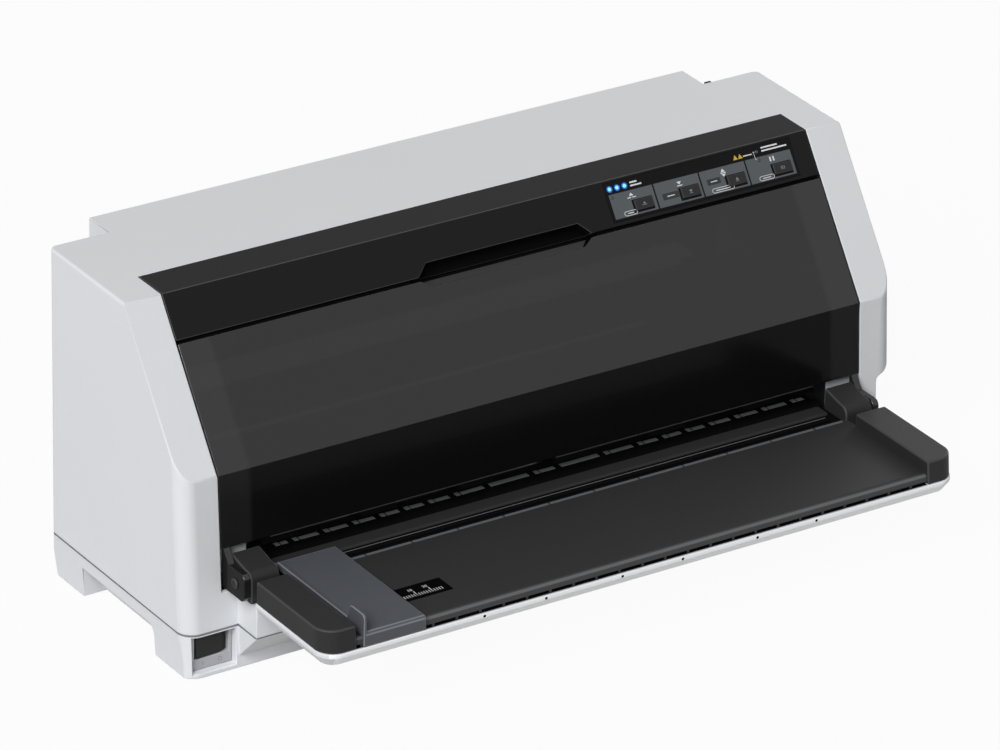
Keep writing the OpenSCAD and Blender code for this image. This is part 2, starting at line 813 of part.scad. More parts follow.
module front_paper_guide() {
    front = table_rear_y + 1.2;
    rear = front_feed_y - feed_r - 1.6;
    pitch = 18.7;
    n = floor((shoulder_in - 12) / pitch);
    color(black_plastic) {
        difference() {
            block([-shoulder_in + 0.5, front, paper_z - 5], [shoulder_in - 0.5, rear, paper_z - 1]);
            // long grooves in front of the guide bar
            for (y = [front + 3, front + 7.5]) block(
                [-shoulder_in + 6, y, paper_z - 3], [shoulder_in - 6, y + 2.2, paper_z]);
        }
        // comb in front of the feed rollers
        for (i = [-n:n]) block(
            [i * pitch - 6, rear - 8, paper_z - 1 - eps], [i * pitch + 6, rear - 3, paper_z + 0.6]);
        // legs down to the apron
        for (x = [-0.9, 0, 0.9]) block(
            [x * shoulder_in - 5, front + 1, apron_top_z],
            [x * shoulder_in + 5, front + 8, paper_z - 5 + eps]);
    }
}

module guide_bar() {
    front = guide_rear_y - 3;
    color(arm_grey) bar_x(concat(
        [[front, paper_z - 1]],
        arc([front + 1.4, paper_z - 0.8], 1.4, 180, 90, 4),
        arc([front + 9.6, paper_z - 0.8], 1.4, 90, 0, 4),
        [[front + 11, paper_z - 1]]), shoulder_in - 4);
}

module rear_paper_guide() {
    front = rear_feed_y + feed_r + 1.6;
    color(black_plastic) difference() {
        block([-frame_in, front, paper_z - 4], [frame_in, rear_y - wall - 1, paper_z - 1]);
        // room in which the tractors slide
        both_ends() block(
            [tractor_x - tractor_w / 2 - tractor_travel - 4, front - 1, paper_z - 6],
            [tractor_x + tractor_w / 2 + 6, tractor_rear_y + 1, paper_z]);
    }
}

module switch_frame() {
    deep = 0.8 * wall;
    color(grey_shell) {
        difference() {
            block(
                [switch_x - switch_frame_w / 2, switch_y, switch_frame_low_z],
                [switch_x + switch_frame_w / 2, switch_y + deep, switch_frame_high_z]);
            block(
                [switch_x - switch_w / 2, switch_y - 1, switch_z],
                [switch_x + switch_w / 2, switch_y + deep + 1, switch_z + switch_h]);
        }
        // housing behind the frame
        translate([switch_x, switch_y + deep - eps, switch_z + switch_h / 2]) rotate([-90, 0, 0]) {
            frame_plate(switch_w + 1.6, switch_h + 0.6, 12, 0.5);
            translate([-switch_w / 2 - 0.8, -switch_h / 2 - 0.3, 12 - eps])
                cube([switch_w + 1.6, switch_h + 0.6, 1.5]);
        }
        // pin that the rocker turns on
        translate([switch_x, switch_y + rocker_pin_d, switch_z])
            cylinder(r = rocker_pin_r, h = switch_h);
    }
}

module power_rocker() {
    w = switch_w / 2 - 1;
    y = switch_y;
    color(rubber_black) difference() {
        // two faces that meet at a shallow angle, the right one pressed in
        translate([switch_x, 0, switch_z + 0.5]) linear_extrude(switch_h - 1) polygon([
            [-w, y - 0.4], [w * 0.55, y + 0.6], [w, y + 2.2], [w, y + 5.5], [0, y + 8], [-w, y + 5.5]]);
        translate([switch_x, y + rocker_pin_d, switch_z - 1])
            cylinder(r = rocker_pin_r + run, h = switch_h + 2);
    }
}

module rubber_feet() {
    color(rubber_black) for (s = foot_spots)
        translate([s[0], s[1], 0]) cylinder(r = foot_r, h = case_low_z + 1.5);
}

module power_inlet() {
    color(rubber_black) translate([inlet_x, rear_y - 18, inlet_z]) {
        difference() {
            union() {
                block([-13.7, 0, -10], [13.7, 18, 10]);
                block([-15.5, 18, -12], [15.5, 20, 12]);
            }
            block([-12, 3, -8.2], [12, 21, 8.2]);
        }
        for (x = [-7, 0, 7]) block([x - 1, 2.9, -2.5], [x + 1, 16, 2.5]);
    }
}

module parallel_port() {
    color(steel) translate([-42, board_rear_y - 2, port_z]) difference() {
        block([-28, 0, 0], [28, rear_y - board_rear_y + 3, 12.5]);
        block([-25, 4, 2.5], [25, rear_y - board_rear_y + 4, 10]);
    }
}

module usb_port() {
    color(steel) translate([6, board_rear_y - 2, port_z]) difference() {
        block([-6, 0, 0], [6, rear_y - board_rear_y + 3, 11]);
        block([-4.2, 4, 2], [4.2, rear_y - board_rear_y + 4, 9.6]);
    }
}

module base_plate() {
    color(steel) {
        difference() {
            block([-frame_out, frame_front_y, base_z], [frame_out, frame_rear_y, base_top]);
            for (x = [-1, 1], y = [frame_front_y + 14, frame_rear_y - 12])
                translate([x * (frame_in - 14), y, 0]) cylinder(r = 2, h = 20);
        }
        // posts of the main board
        for (x = [board_x + 6, board_x + board_w - 6], y = [board_front_y + 6, frame_rear_y - 14])
            translate([x, y, base_top - eps]) cylinder(r = 3, h = board_z - base_top + eps);
    }
}

// One pressed side plate of the mechanism, drawn for the right side
module side_frame() {
    color(steel) difference() {
        bar_span([
            [frame_front_y, base_top], [frame_front_y, cartridge_seat_z],
            [rail_y - 3, cartridge_seat_z], [rail_y - 3, frame_top_z],
            [frame_rear_y, frame_top_z], [frame_rear_y, base_top]
        ], frame_in, frame_out);
        for (y = [front_feed_y, rear_feed_y]) {
            rod_x(frame_in - 1, frame_out + 1, y, feed_z, feed_shaft_r + run);
            rod_x(frame_in - 1, frame_out + 1, y, pinch_z, pinch_shaft_r + run);
        }
        rod_x(frame_in - 1, frame_out + 1, rod_y, rod_z, rod_r);
        rod_x(frame_in - 1, frame_out + 1, tractor_y, tractor_z, 3 + run);
        rod_x(frame_in - 1, frame_out + 1, pinion_y, pinion_z, 5);
    }
}

module left_side_frame() {
    mirror([1, 0, 0]) side_frame();
    // stub axle of the idler gear
    color(steel) rod_x(-gear_x - gear_t - 0.6, -frame_out + eps, idler_y, feed_z, 3);
}

module right_side_frame() {
    side_frame();
    // horn with the stub axle of the release lever
    color(steel) {
        block(
            [frame_in, lever_y - 7, frame_top_z - eps], [frame_out, lever_y + 7, lever_z + 7]);
        rod_x(frame_out - eps, lever_x + lever_w + 1, lever_y, lever_z, 3);
    }
}

module platen() {
    color(rubber_black) block(
        [-frame_in, head_y - platen_w / 2, paper_z - 18],
        [frame_in, head_y + platen_w / 2, paper_z - 0.3]);
}

module carriage_rod() {
    color(steel) rod_x(-frame_out - 1, frame_out + 1, rod_y, rod_z, rod_r);
}

module front_rail() {
    color(steel) {
        block([-frame_in, rail_y, rail_z], [frame_in, rail_y + rail_d, rail_z + 2]);
        block([-frame_in, rail_y, rail_z], [frame_in, rail_y + 2, rail_z + 12]);
    }
}

module rear_beam() {
    color(steel) {
        difference() {
            block([-frame_in, beam_front_y, beam_z], [frame_in, beam_rear_y, beam_z + beam_t]);
            translate([-pulley_x, belt_y, beam_z - 1]) cylinder(r = 5, h = 4);
        }
        block([-frame_in, beam_rear_y - 2, beam_z], [frame_in, beam_rear_y, beam_z + 14]);
        // axle of the idler pulley
        translate([pulley_x, belt_y, beam_z]) cylinder(r = 2.5, h = beam_t + 12);
    }
}

module carriage_frame() {
    x0 = carriage_x - carriage_w / 2;
    x1 = carriage_x + carriage_w / 2;
    front = rail_y + rail_d + 2.5;
    rear = rod_y + rod_r + 3;
    color(black_plastic) difference() {
        union() {
            block([x0, front, carriage_low_z], [x1, rear, carriage_high_z]);
            // shoe that runs along the front rail
            block([x0 + 8, rail_y + 3, rail_z - 4], [x1 - 8, front + eps, rail_z + 5]);
            // clamp of the belt
            block(
                [carriage_x - 8, rear - eps, belt_z + 0.5],
                [carriage_x + 8, belt_y - pulley_r - belt_t / 2 - fit, belt_z + belt_h - 0.5]);
        }
        block([x0, rail_y + 2, rail_z - fit], [x1, rail_y + rail_d + fit, rail_z + 2 + fit]);
        translate([carriage_x, head_y, carriage_low_z - 1]) cylinder(r = 17.2, h = 60);
        rod_x(x0 - 1, x1 + 1, rod_y, rod_z, rod_r + run);
    }
}

module print_head() {
    color("#6D7275") translate([carriage_x, head_y, 0]) {
        translate([0, 0, carriage_low_z - 3]) cylinder(r = 17, h = carriage_high_z - carriage_low_z + 3);
        // nose that holds the wires over the ribbon
        translate([-4, -5, paper_z + 2.6]) cube([8, 10, 8]);
        // cooling fins
        for (i = [0:4]) translate([0, 0, carriage_high_z + i * 4.2]) cylinder(r = 18, h = 2);
        translate([0, 0, carriage_high_z - eps]) cylinder(r = 15, h = 18.8);
    }
}

module ribbon_guide() {
    color(rubber_black) {
        difference() {
            block(
                [carriage_x - 22, head_y - 12, paper_z + 1],
                [carriage_x + 22, head_y + 12, paper_z + 1.6]);
            translate([carriage_x, head_y, paper_z]) cylinder(r = 5, h = 3);
        }
        for (x = [-1, 1]) block(
            [carriage_x + x * 20.5 - 1.5, head_y - 12, paper_z + 1.6 - eps],
            [carriage_x + x * 20.5 + 1.5, head_y - 8, carriage_low_z]);
    }
}

module ribbon_cartridge() {
    front = frame_front_y + 1;
    rear = rail_y - 4;
    half = frame_in - 5.5;
    color("#202122") {
        block([-half, front, cartridge_z], [half, rear, cartridge_z + 16]);
        // end arms that lead the ribbon to the platen
        both_ends() {
            block([half - 8, rear - eps, cartridge_z], [half, head_y + 10, cartridge_z + 10]);
            block([half - 8, head_y - 10, paper_z + 1], [half, head_y + 10, cartridge_z + eps]);
            block(
                [half - eps, front + 6, cartridge_seat_z], [frame_out + 1, front + 18, cartridge_z + 6]);
        }
        // seat of the knob
        translate([-half + 40, (front + rear) / 2, cartridge_z + 16 - eps]) cylinder(r = 2.5, h = 8);
    }
}

module ribbon() {
    half = frame_in - 13.5;
    color("#141416") block([-half, head_y - 6, paper_z + 2], [half, head_y + 6, paper_z + 2.2]);
}

module ribbon_knob() {
    front = frame_front_y + 1;
    rear = rail_y - 4;
    half = frame_in - 5.5;
    color(guide_grey) translate([-half + 40, (front + rear) / 2, cartridge_z + 16.3]) difference() {
        union() {
            cylinder(r = 8, h = 7);
            for (a = [0:30:330]) rotate([0, 0, a]) translate([7.6, -0.8, 0]) cube([1.2, 1.6, 7]);
        }
        translate([0, 0, -1]) cylinder(r = 2.5 + run, h = 20);
    }
}

module carriage_motor() {
    color("#55585B") translate([-pulley_x, belt_y, 0]) {
        translate([0, 0, beam_z - 18]) cylinder(r = motor_r - 1, h = 18);
        translate([0, 0, beam_z - eps]) cylinder(r = 2.5, h = beam_t + 12);
    }
}

// A flanged belt pulley on an upright axle
module pulley(x) {
    color(gear_white) translate([x, belt_y, belt_z - 1.6]) difference() {
        union() {
            cylinder(r = pulley_r - belt_t / 2 - fit, h = belt_h + 3.2);
            cylinder(r = pulley_r + 1.6, h = 1);
            translate([0, 0, belt_h + 2.2]) cylinder(r = pulley_r + 1.6, h = 1);
        }
        translate([0, 0, -1]) cylinder(r = 2.5 + run, h = 20);
    }
}

module drive_pulley() {
    pulley(-pulley_x);
}

module idler_pulley() {
    pulley(pulley_x);
}

module carriage_belt() {
    color(rubber_black) translate([0, belt_y, belt_z]) linear_extrude(belt_h) difference() {
        union() {
            translate([-pulley_x, -pulley_r - belt_t / 2]) square([2 * pulley_x, 2 * pulley_r + belt_t]);
            for (x = [-1, 1]) translate([x * pulley_x, 0]) circle(r = pulley_r + belt_t / 2);
        }
        translate([-pulley_x, -pulley_r + belt_t / 2]) square([2 * pulley_x, 2 * pulley_r - belt_t]);
        for (x = [-1, 1]) translate([x * pulley_x, 0]) circle(r = pulley_r - belt_t / 2);
    }
}

// A feed shaft with its rubber rollers and the gear at its left end
module feed_roller(y, phase) {
    color(rubber_black) translate([0, y, feed_z]) {
        rod_x(-gear_x - gear_t - 0.6, frame_out + 1, 0, 0, feed_shaft_r);
        for (x = [-0.8, -0.48, -0.16, 0.16, 0.48, 0.8])
            rod_x(x * frame_in - 12, x * frame_in + 12, 0, 0, feed_r);
        spur_gear(feed_teeth, -gear_x - gear_t, -gear_x, feed_shaft_r - 0.5, phase);
    }
}

module front_feed_roller() {
    feed_roller(front_feed_y, 0);
}

module rear_feed_roller() {
    feed_roller(rear_feed_y, 0);
}

module pressure_roller(y) {
    color(guide_grey) {
        rod_x(-frame_out - 1, frame_out + 1, y, pinch_z, pinch_shaft_r);
        for (x = [-0.8, -0.48, -0.16, 0.16, 0.48, 0.8])
            rod_x(x * frame_in - 8, x * frame_in + 8, y, pinch_z, pinch_r);
    }
}

module front_pressure_roller() {
    pressure_roller(front_feed_y);
}

module rear_pressure_roller() {
    pressure_roller(rear_feed_y);
}

module idler_gear() {
    color(gear_white) translate([0, idler_y, feed_z])
        spur_gear(feed_teeth, -gear_x - gear_t, -gear_x, 3 + run, 180 / feed_teeth);
}

module feed_motor() {
    color("#55585B") {
        rod_x(-frame_in, -frame_in + 27, pinion_y, pinion_z, motor_r);
        rod_x(-gear_x - gear_t - 0.4, -frame_in + eps, pinion_y, pinion_z, 2);
    }
}

module motor_pinion() {
    color(gear_white) translate([0, pinion_y, pinion_z])
        spur_gear(
            pinion_teeth, -gear_x - gear_t, -gear_x, 2 + run,
            180 + pinion_angle + 180 / pinion_teeth);
}

// One paper tractor, drawn for the right side, which slides on its shaft
module tractor() {
    color(guide_grey) translate([tractor_x, 0, 0]) difference() {
        union() {
            block(
                [-tractor_w / 2, tractor_front_y, tractor_z - 8],
                [tractor_w / 2, tractor_rear_y, tractor_z + 7]);
            // pins that engage the holes of the paper
            for (i = [-1:1]) translate([0, tractor_y - 2 + i * 8, tractor_z + 6]) cylinder(r = 1.6, h = 3.4);
            // cheek with the pin of the flap
            for (y = [tractor_front_y, tractor_rear_y - 3]) block(
                [tractor_w / 2 - eps, y, tractor_z - 2], [flap_x + 2, y + 3, flap_z + flap_t]);
            translate([flap_x, tractor_front_y + 1, flap_z + flap_t / 2]) rotate([-90, 0, 0])
                cylinder(r = flap_pin_r, h = tractor_rear_y - tractor_front_y - 2);
        }
        rod_x(-tractor_w, tractor_w, tractor_y, tractor_z, 3 + run);
    }
}

module left_tractor() {
    mirror([1, 0, 0]) tractor();
}

module right_tractor() {
    tractor();
}

// The flap that holds the paper down on the pins, drawn for the right side
module tractor_flap() {
    front = tractor_front_y + 3 + fit;
    rear = tractor_rear_y - 3 - fit;
    mid_z = flap_z + flap_t / 2;
    color(black_plastic) translate([tractor_x, 0, 0]) difference() {
        union() {
            block([-tractor_w / 2, front, flap_z], [flap_x, rear, flap_z + flap_t]);
            translate([flap_x, front, mid_z]) rotate([-90, 0, 0]) cylinder(r = 2, h = rear - front);
        }
        block([-2.6, front + 3, flap_z - 1], [2.6, rear - 3, flap_z + flap_t + 1]);
        translate([flap_x, front - 1, mid_z]) rotate([-90, 0, 0])
            cylinder(r = flap_pin_r + run, h = rear - front + 2);
    }
}

module left_tractor_flap() {
    mirror([1, 0, 0]) tractor_flap();
}

module right_tractor_flap() {
    tractor_flap();
}

module tractor_shaft() {
    color(steel) rod_x(-frame_out - 1, frame_out + 1, tractor_y, tractor_z, 3);
}

module release_lever() {
    color(black_plastic) difference() {
        union() {
            rod_x(lever_x, lever_x + lever_w, lever_y, lever_z, 6);
            bar_span([
                [lever_y - 3, lever_z + 2], [lever_y, lever_z + 15], [rear_y - 3, body_h - 10],
                [rear_y + 1.5, body_h - 8], [rear_y + 1.5, body_h - 2.5], [rear_y + 6, body_h - 2.5],
                [rear_y + 6, body_h - 13], [rear_y - 2, body_h - 17], [lever_y + 5, lever_z + 2]
            ], lever_x, lever_x + lever_w);
        }
        rod_x(lever_x - 1, lever_x + lever_w + 1, lever_y, lever_z, 3 + run);
    }
}

module main_board() {
    color(board_green) {
        block(
            [board_x, board_front_y, board_z], [board_x + board_w, board_rear_y + 4, board_z + board_t]);
        for (i = [0:2]) block(
            [board_x + 18 + i * 46, board_front_y + 12, board_z + board_t - eps],
            [board_x + 42 + i * 46, board_front_y + 32, board_z + board_t + 3]);
        block(
            [board_x + 10, board_front_y + 44, board_z + board_t - eps],
            [board_x + 60, board_front_y + 50, board_z + board_t + 8]);
    }
}

module power_supply() {
    x1 = frame_in - 20;
    y0 = board_front_y - 6;
    y1 = rear_y - 24;
    color(steel) difference() {
        block([supply_x, y0, base_top], [x1, y1, supply_top_z]);
        block([supply_x + 1.5, y0 + 1.5, base_top + 3], [x1 - 1.5, y1 - 1.5, supply_top_z - 1.5]);
        // ventilation slots
        for (i = [0:9]) block(
            [supply_x + 12 + i * 11, y0 + 10, supply_top_z - 6],
            [supply_x + 17 + i * 11, y1 - 10, supply_top_z + 1]);
    }
}

module case_screws() {
    color(steel) for (x = [-1, 1], y = [frame_front_y + 14, frame_rear_y - 12])
        translate([x * (frame_in - 14), y, 2]) {
            cylinder(r = 1.9, h = base_top - 1);
            translate([0, 0, base_top - 2]) cylinder(r = 4, h = 2.6);
        }
}

lower_case();
upper_case();
front_bezel();
panel_plate();
indicator_lights();
panel_board();
tear_off_button();
line_feed_button();
load_eject_button();
pause_button();
front_cover();
cover_tear_edge();
left_shoulder();
right_shoulder();
tray_table();
tray_base();
tray_scale();
edge_guide();
front_paper_guide();
guide_bar();
rear_paper_guide();
switch_frame();
power_rocker();
rubber_feet();
power_inlet();
parallel_port();
usb_port();
base_plate();
left_side_frame();
right_side_frame();
platen();
carriage_rod();
front_rail();
rear_beam();
carriage_frame();
print_head();
ribbon_guide();
ribbon_cartridge();
ribbon();
ribbon_knob();
carriage_motor();
drive_pulley();
idler_pulley();
carriage_belt();
front_feed_roller();
rear_feed_roller();
front_pressure_roller();
rear_pressure_roller();
idler_gear();
feed_motor();
motor_pinion();
left_tractor();
right_tractor();
left_tractor_flap();
right_tractor_flap();
tractor_shaft();
release_lever();
main_board();
power_supply();
case_screws();
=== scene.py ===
"""The looks of a wide flatbed dot matrix printer, built round its packed construction.

Everything is in metres in the frame of the construction: X along the width, Y from the tray to the rear hood,
Z up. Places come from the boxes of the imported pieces, and the sizes that they don't give are named here.
"""
import json
import math

import bmesh
import bpy
from bpy.props import FloatProperty, FloatVectorProperty, IntProperty, PointerProperty
from bpy.types import Operator, Panel, PropertyGroup
from mathutils import Matrix, Vector
from mathutils.bvhtree import BVHTree


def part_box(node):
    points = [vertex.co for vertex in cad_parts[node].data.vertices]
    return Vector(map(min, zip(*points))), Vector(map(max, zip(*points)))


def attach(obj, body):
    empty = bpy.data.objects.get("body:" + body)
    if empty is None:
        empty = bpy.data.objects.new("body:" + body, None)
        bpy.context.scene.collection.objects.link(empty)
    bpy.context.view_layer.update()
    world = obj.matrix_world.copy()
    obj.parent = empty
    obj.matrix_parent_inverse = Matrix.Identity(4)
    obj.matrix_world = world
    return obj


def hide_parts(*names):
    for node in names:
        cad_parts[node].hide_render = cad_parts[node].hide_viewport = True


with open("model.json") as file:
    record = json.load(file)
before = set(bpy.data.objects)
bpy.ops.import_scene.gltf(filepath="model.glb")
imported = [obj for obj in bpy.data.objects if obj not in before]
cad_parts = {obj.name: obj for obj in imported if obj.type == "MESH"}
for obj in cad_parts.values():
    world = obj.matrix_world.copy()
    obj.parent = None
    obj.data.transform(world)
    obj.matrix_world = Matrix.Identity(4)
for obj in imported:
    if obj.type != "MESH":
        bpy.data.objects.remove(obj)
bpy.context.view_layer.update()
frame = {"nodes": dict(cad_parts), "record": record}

bl_info = {
    "name": "Dot matrix printer",
    "version": (1, 0, 0),
    "blender": (4, 5, 0),
    "location": "3D View > Sidebar > Printer",
    "description": "Finishes the pieces of a flatbed dot matrix printer and sets its stage",
    "category": "Object",
}

RECORD = frame["record"]
BODY_OF = {node: body for body, nodes in RECORD["behaviour"]["bodies"].items() for node in nodes}
MM = 0.001

# Edges shorter than this stay sharp, as those round small holes
SHORTEST = 0.3 * MM

# Folds sharper than this are rounded, and gentler ones are shaded as one surface
FOLD = math.radians(28)

# In a copy of a CAD node, points closer than this are one, and so are faces that fold less than this
SAME_POINT, SAME_FACE = 0.002 * MM, math.radians(0.4)

# The slope that carries the key panel, and the thickness of the panel's plate
SLOPE_RUN, SLOPE_RISE = 61 * MM, 86 * MM
PLATE_T = 0.5 * MM

# How far a print or a thin strip stands out of its surface, in millimetres
PRINT_H = 0.05

# The sockets of a Mix node that mixes colours: its share, its two colours and its result
SHARE, FIRST, SECOND, MIXED = 0, 6, 7, 2


# ---------------------------------------------------------------- colours and materials

def linear(hex_colour):
    """An sRGB hex colour as the linear RGBA that a shader takes."""
    parts = [int(hex_colour[i:i + 2], 16) / 255 for i in (1, 3, 5)]
    return tuple(p / 12.92 if p <= 0.04045 else ((p + 0.055) / 1.055) ** 2.4 for p in parts) + (1.0,)


def add(tree, kind, settings=None, links=None):
    """Adds a node, with its settings by attribute or input, and its links by input."""
    node = tree.nodes.new(kind)
    for key, value in (settings or {}).items():
        if isinstance(key, int) or key in node.inputs:
            node.inputs[key].default_value = value
        else:
            setattr(node, key, value)
    for key, source in (links or {}).items():
        tree.links.new(source, node.inputs[key])
    return node


def new_material(name):
    """An empty node material, and its tree."""
    material = bpy.data.materials.new(name)
    material.use_nodes = True
    material.node_tree.nodes.clear()
    return material, material.node_tree


def patterned(name):
    """An empty node material, its tree, and the object coordinates that its patterns read."""
    material, tree = new_material(name)
    return material, tree, add(tree, "ShaderNodeTexCoord").outputs["Object"]


def shaded(material, settings, links):
    """Ends a material in its principled shader."""
    tree = material.node_tree
    shader = add(tree, "ShaderNodeBsdfPrincipled", settings, links)
    add(tree, "ShaderNodeOutputMaterial", links={"Surface": shader.outputs["BSDF"]})
    return material


def tinted(tree, place, colour, tone, patch_mm):
    """A colour that drifts by the share tone over patches of the given size."""
    cloud = add(tree, "ShaderNodeTexNoise", {"Scale": 1 / (patch_mm * MM), "Detail": 2.0}, {"Vector": place})
    dark = tuple(c * (1 - tone) for c in colour[:3]) + (1.0,)
    pale = tuple(min(1.0, c * (1 + tone)) for c in colour[:3]) + (1.0,)
    mix = add(
        tree, "ShaderNodeMix", {"data_type": "RGBA", FIRST: dark, SECOND: pale},
        {SHARE: cloud.outputs["Fac"]})
    return mix.outputs[MIXED]


def textured(tree, height, strength, depth_mm, low, high):
    """The relief and the roughness that follow one pattern, as links for a shader."""
    bump = add(tree, "ShaderNodeBump", {"Strength": strength, "Distance": depth_mm * MM}, {"Height": height})
    gloss = add(tree, "ShaderNodeMapRange", {"To Min": low, "To Max": high}, {"Value": height})
    return {"Roughness": gloss.outputs["Result"], "Normal": bump.outputs["Normal"]}


def moulded(name, colour, roughness, grain_mm, relief_mm, tone=0.03, specular=0.5, coat=0.0):
    """A moulded plastic or rubber: an even tint, and an eroded grain that breaks up the highlight. The grain
    is drawn coarser than a real one, so that it shows. The colour is a hex value, or the name of one of the
    printer's looks."""
    material, tree, place = patterned(name)
    base = linear(colour) if colour[0] == "#" else getattr(looks(), colour)[:]
    tint = tinted(tree, place, base, tone, 45)
    grain = add(
        tree, "ShaderNodeTexNoise", {"Scale": 1 / (grain_mm * MM), "Detail": 3.0, "Roughness": 0.55},
        {"Vector": place})
    skin = textured(tree, grain.outputs["Fac"], 0.6, relief_mm, roughness - 0.05, roughness + 0.05)
    return shaded(
        material, {"IOR": 1.5, "Specular IOR Level": specular, "Coat Weight": coat},
        {"Base Color": tint, **skin})


def smoked_acrylic(name, specular):
    """Smoked acrylic sheet, moulded and polished: dark, hardly clear, with faint waves in its reflection. Its
    two ends are thicker, and a little paler for it."""
    material, tree, place = patterned(name)
    body = tinted(tree, place, linear("#101010"), 0.05, 80)
    across = add(tree, "ShaderNodeSeparateXYZ", links={"Vector": place})
    reach = add(tree, "ShaderNodeMath", {"operation": "ABSOLUTE"}, {0: across.outputs["X"]})
    ends = add(
        tree, "ShaderNodeMapRange", {"From Min": 194 * MM, "From Max": 197 * MM, "To Max": 1.0},
        {"Value": reach.outputs["Value"]})
    tint = add(
        tree, "ShaderNodeMix", {"data_type": "RGBA", SECOND: linear("#202020")},
        {SHARE: ends.outputs["Result"], FIRST: body})
    wave = add(tree, "ShaderNodeTexNoise", {"Scale": 1 / (60 * MM), "Detail": 1.0}, {"Vector": place})
    skin = textured(tree, wave.outputs["Fac"], 0.15, 0.05, 0.12, 0.18)
    return shaded(
        material, {"IOR": 1.49, "Alpha": 0.94, "Specular IOR Level": specular},
        {"Base Color": tint.outputs[MIXED], **skin})


def metal(name, colour, roughness, streak_mm, across):
    """A metal with the marks of its making: fine streaks along X when across is large, and specks when it
    is one."""
    material, tree, place = patterned(name)
    run = add(tree, "ShaderNodeMapping", {"Scale": (1.0, across, across)}, {"Vector": place})
    streak = add(
        tree, "ShaderNodeTexNoise", {"Scale": 1 / (streak_mm * MM), "Detail": 4.0},
        {"Vector": run.outputs["Vector"]})
    tint = tinted(tree, place, linear(colour), 0.06, 25)
    skin = textured(tree, streak.outputs["Fac"], 0.3, 0.02, roughness - 0.08, roughness + 0.12)
    return shaded(material, {"Metallic": 1.0}, {"Base Color": tint, **skin})


def ink(name, colour):
    """Screen-printed ink: flat and matt, with the faint mottle of a printed film."""
    return moulded(name, colour, 0.55, 0.5, 0.01, tone=0.05)


def lit_lens(name, colour, strength):
    """A clear moulded lens over a light: it glows evenly, and its skin stays glossy."""
    material, tree, place = patterned(name)
    glow = linear(colour)
    return shaded(
        material, {"Roughness": 0.2, "IOR": 1.5, "Emission Color": glow, "Emission Strength": strength},
        {"Base Color": tinted(tree, place, glow, 0.1, 0.8)})


def solder_mask(name, colour):
    """A green lacquered circuit board: glossy, with fine copper tracks that show as paler lines."""
    material, tree, place = patterned(name)
    tracks = add(
        tree, "ShaderNodeTexBrick",
        {"Scale": 1 / (9 * MM), "Mortar Size": 0.03, "Color1": linear(colour), "Color2": linear("#2A5240"),
         "Mortar": linear("#4C7A5C")}, {"Vector": place})
    return shaded(material, {"Roughness": 0.3, "IOR": 1.5}, {"Base Color": tracks.outputs["Color"]})


def woven_nylon(name, colour):
    """Inked nylon ribbon: a fine plain weave, drawn at 0.8 mm so that it shows, dark and nearly matt."""
    material, tree, place = patterned(name)
    weave = add(tree, "ShaderNodeTexChecker", {"Scale": 1 / (0.8 * MM)}, {"Vector": place})
    bump = add(
        tree, "ShaderNodeBump", {"Strength": 0.4, "Distance": 0.05 * MM}, {"Height": weave.outputs["Fac"]})
    tint = tinted(tree, place, linear(colour), 0.15, 6)
    return shaded(material, {"Roughness": 0.7}, {"Base Color": tint, "Normal": bump.outputs["Normal"]})


def finish_of(name):
    """The material of that name, made when it is first asked for."""
    if name not in made_finishes:
        maker, *values = FINISHES[name]
        made_finishes[name] = maker(name, *values)
    return made_finishes[name]


made_finishes = {}


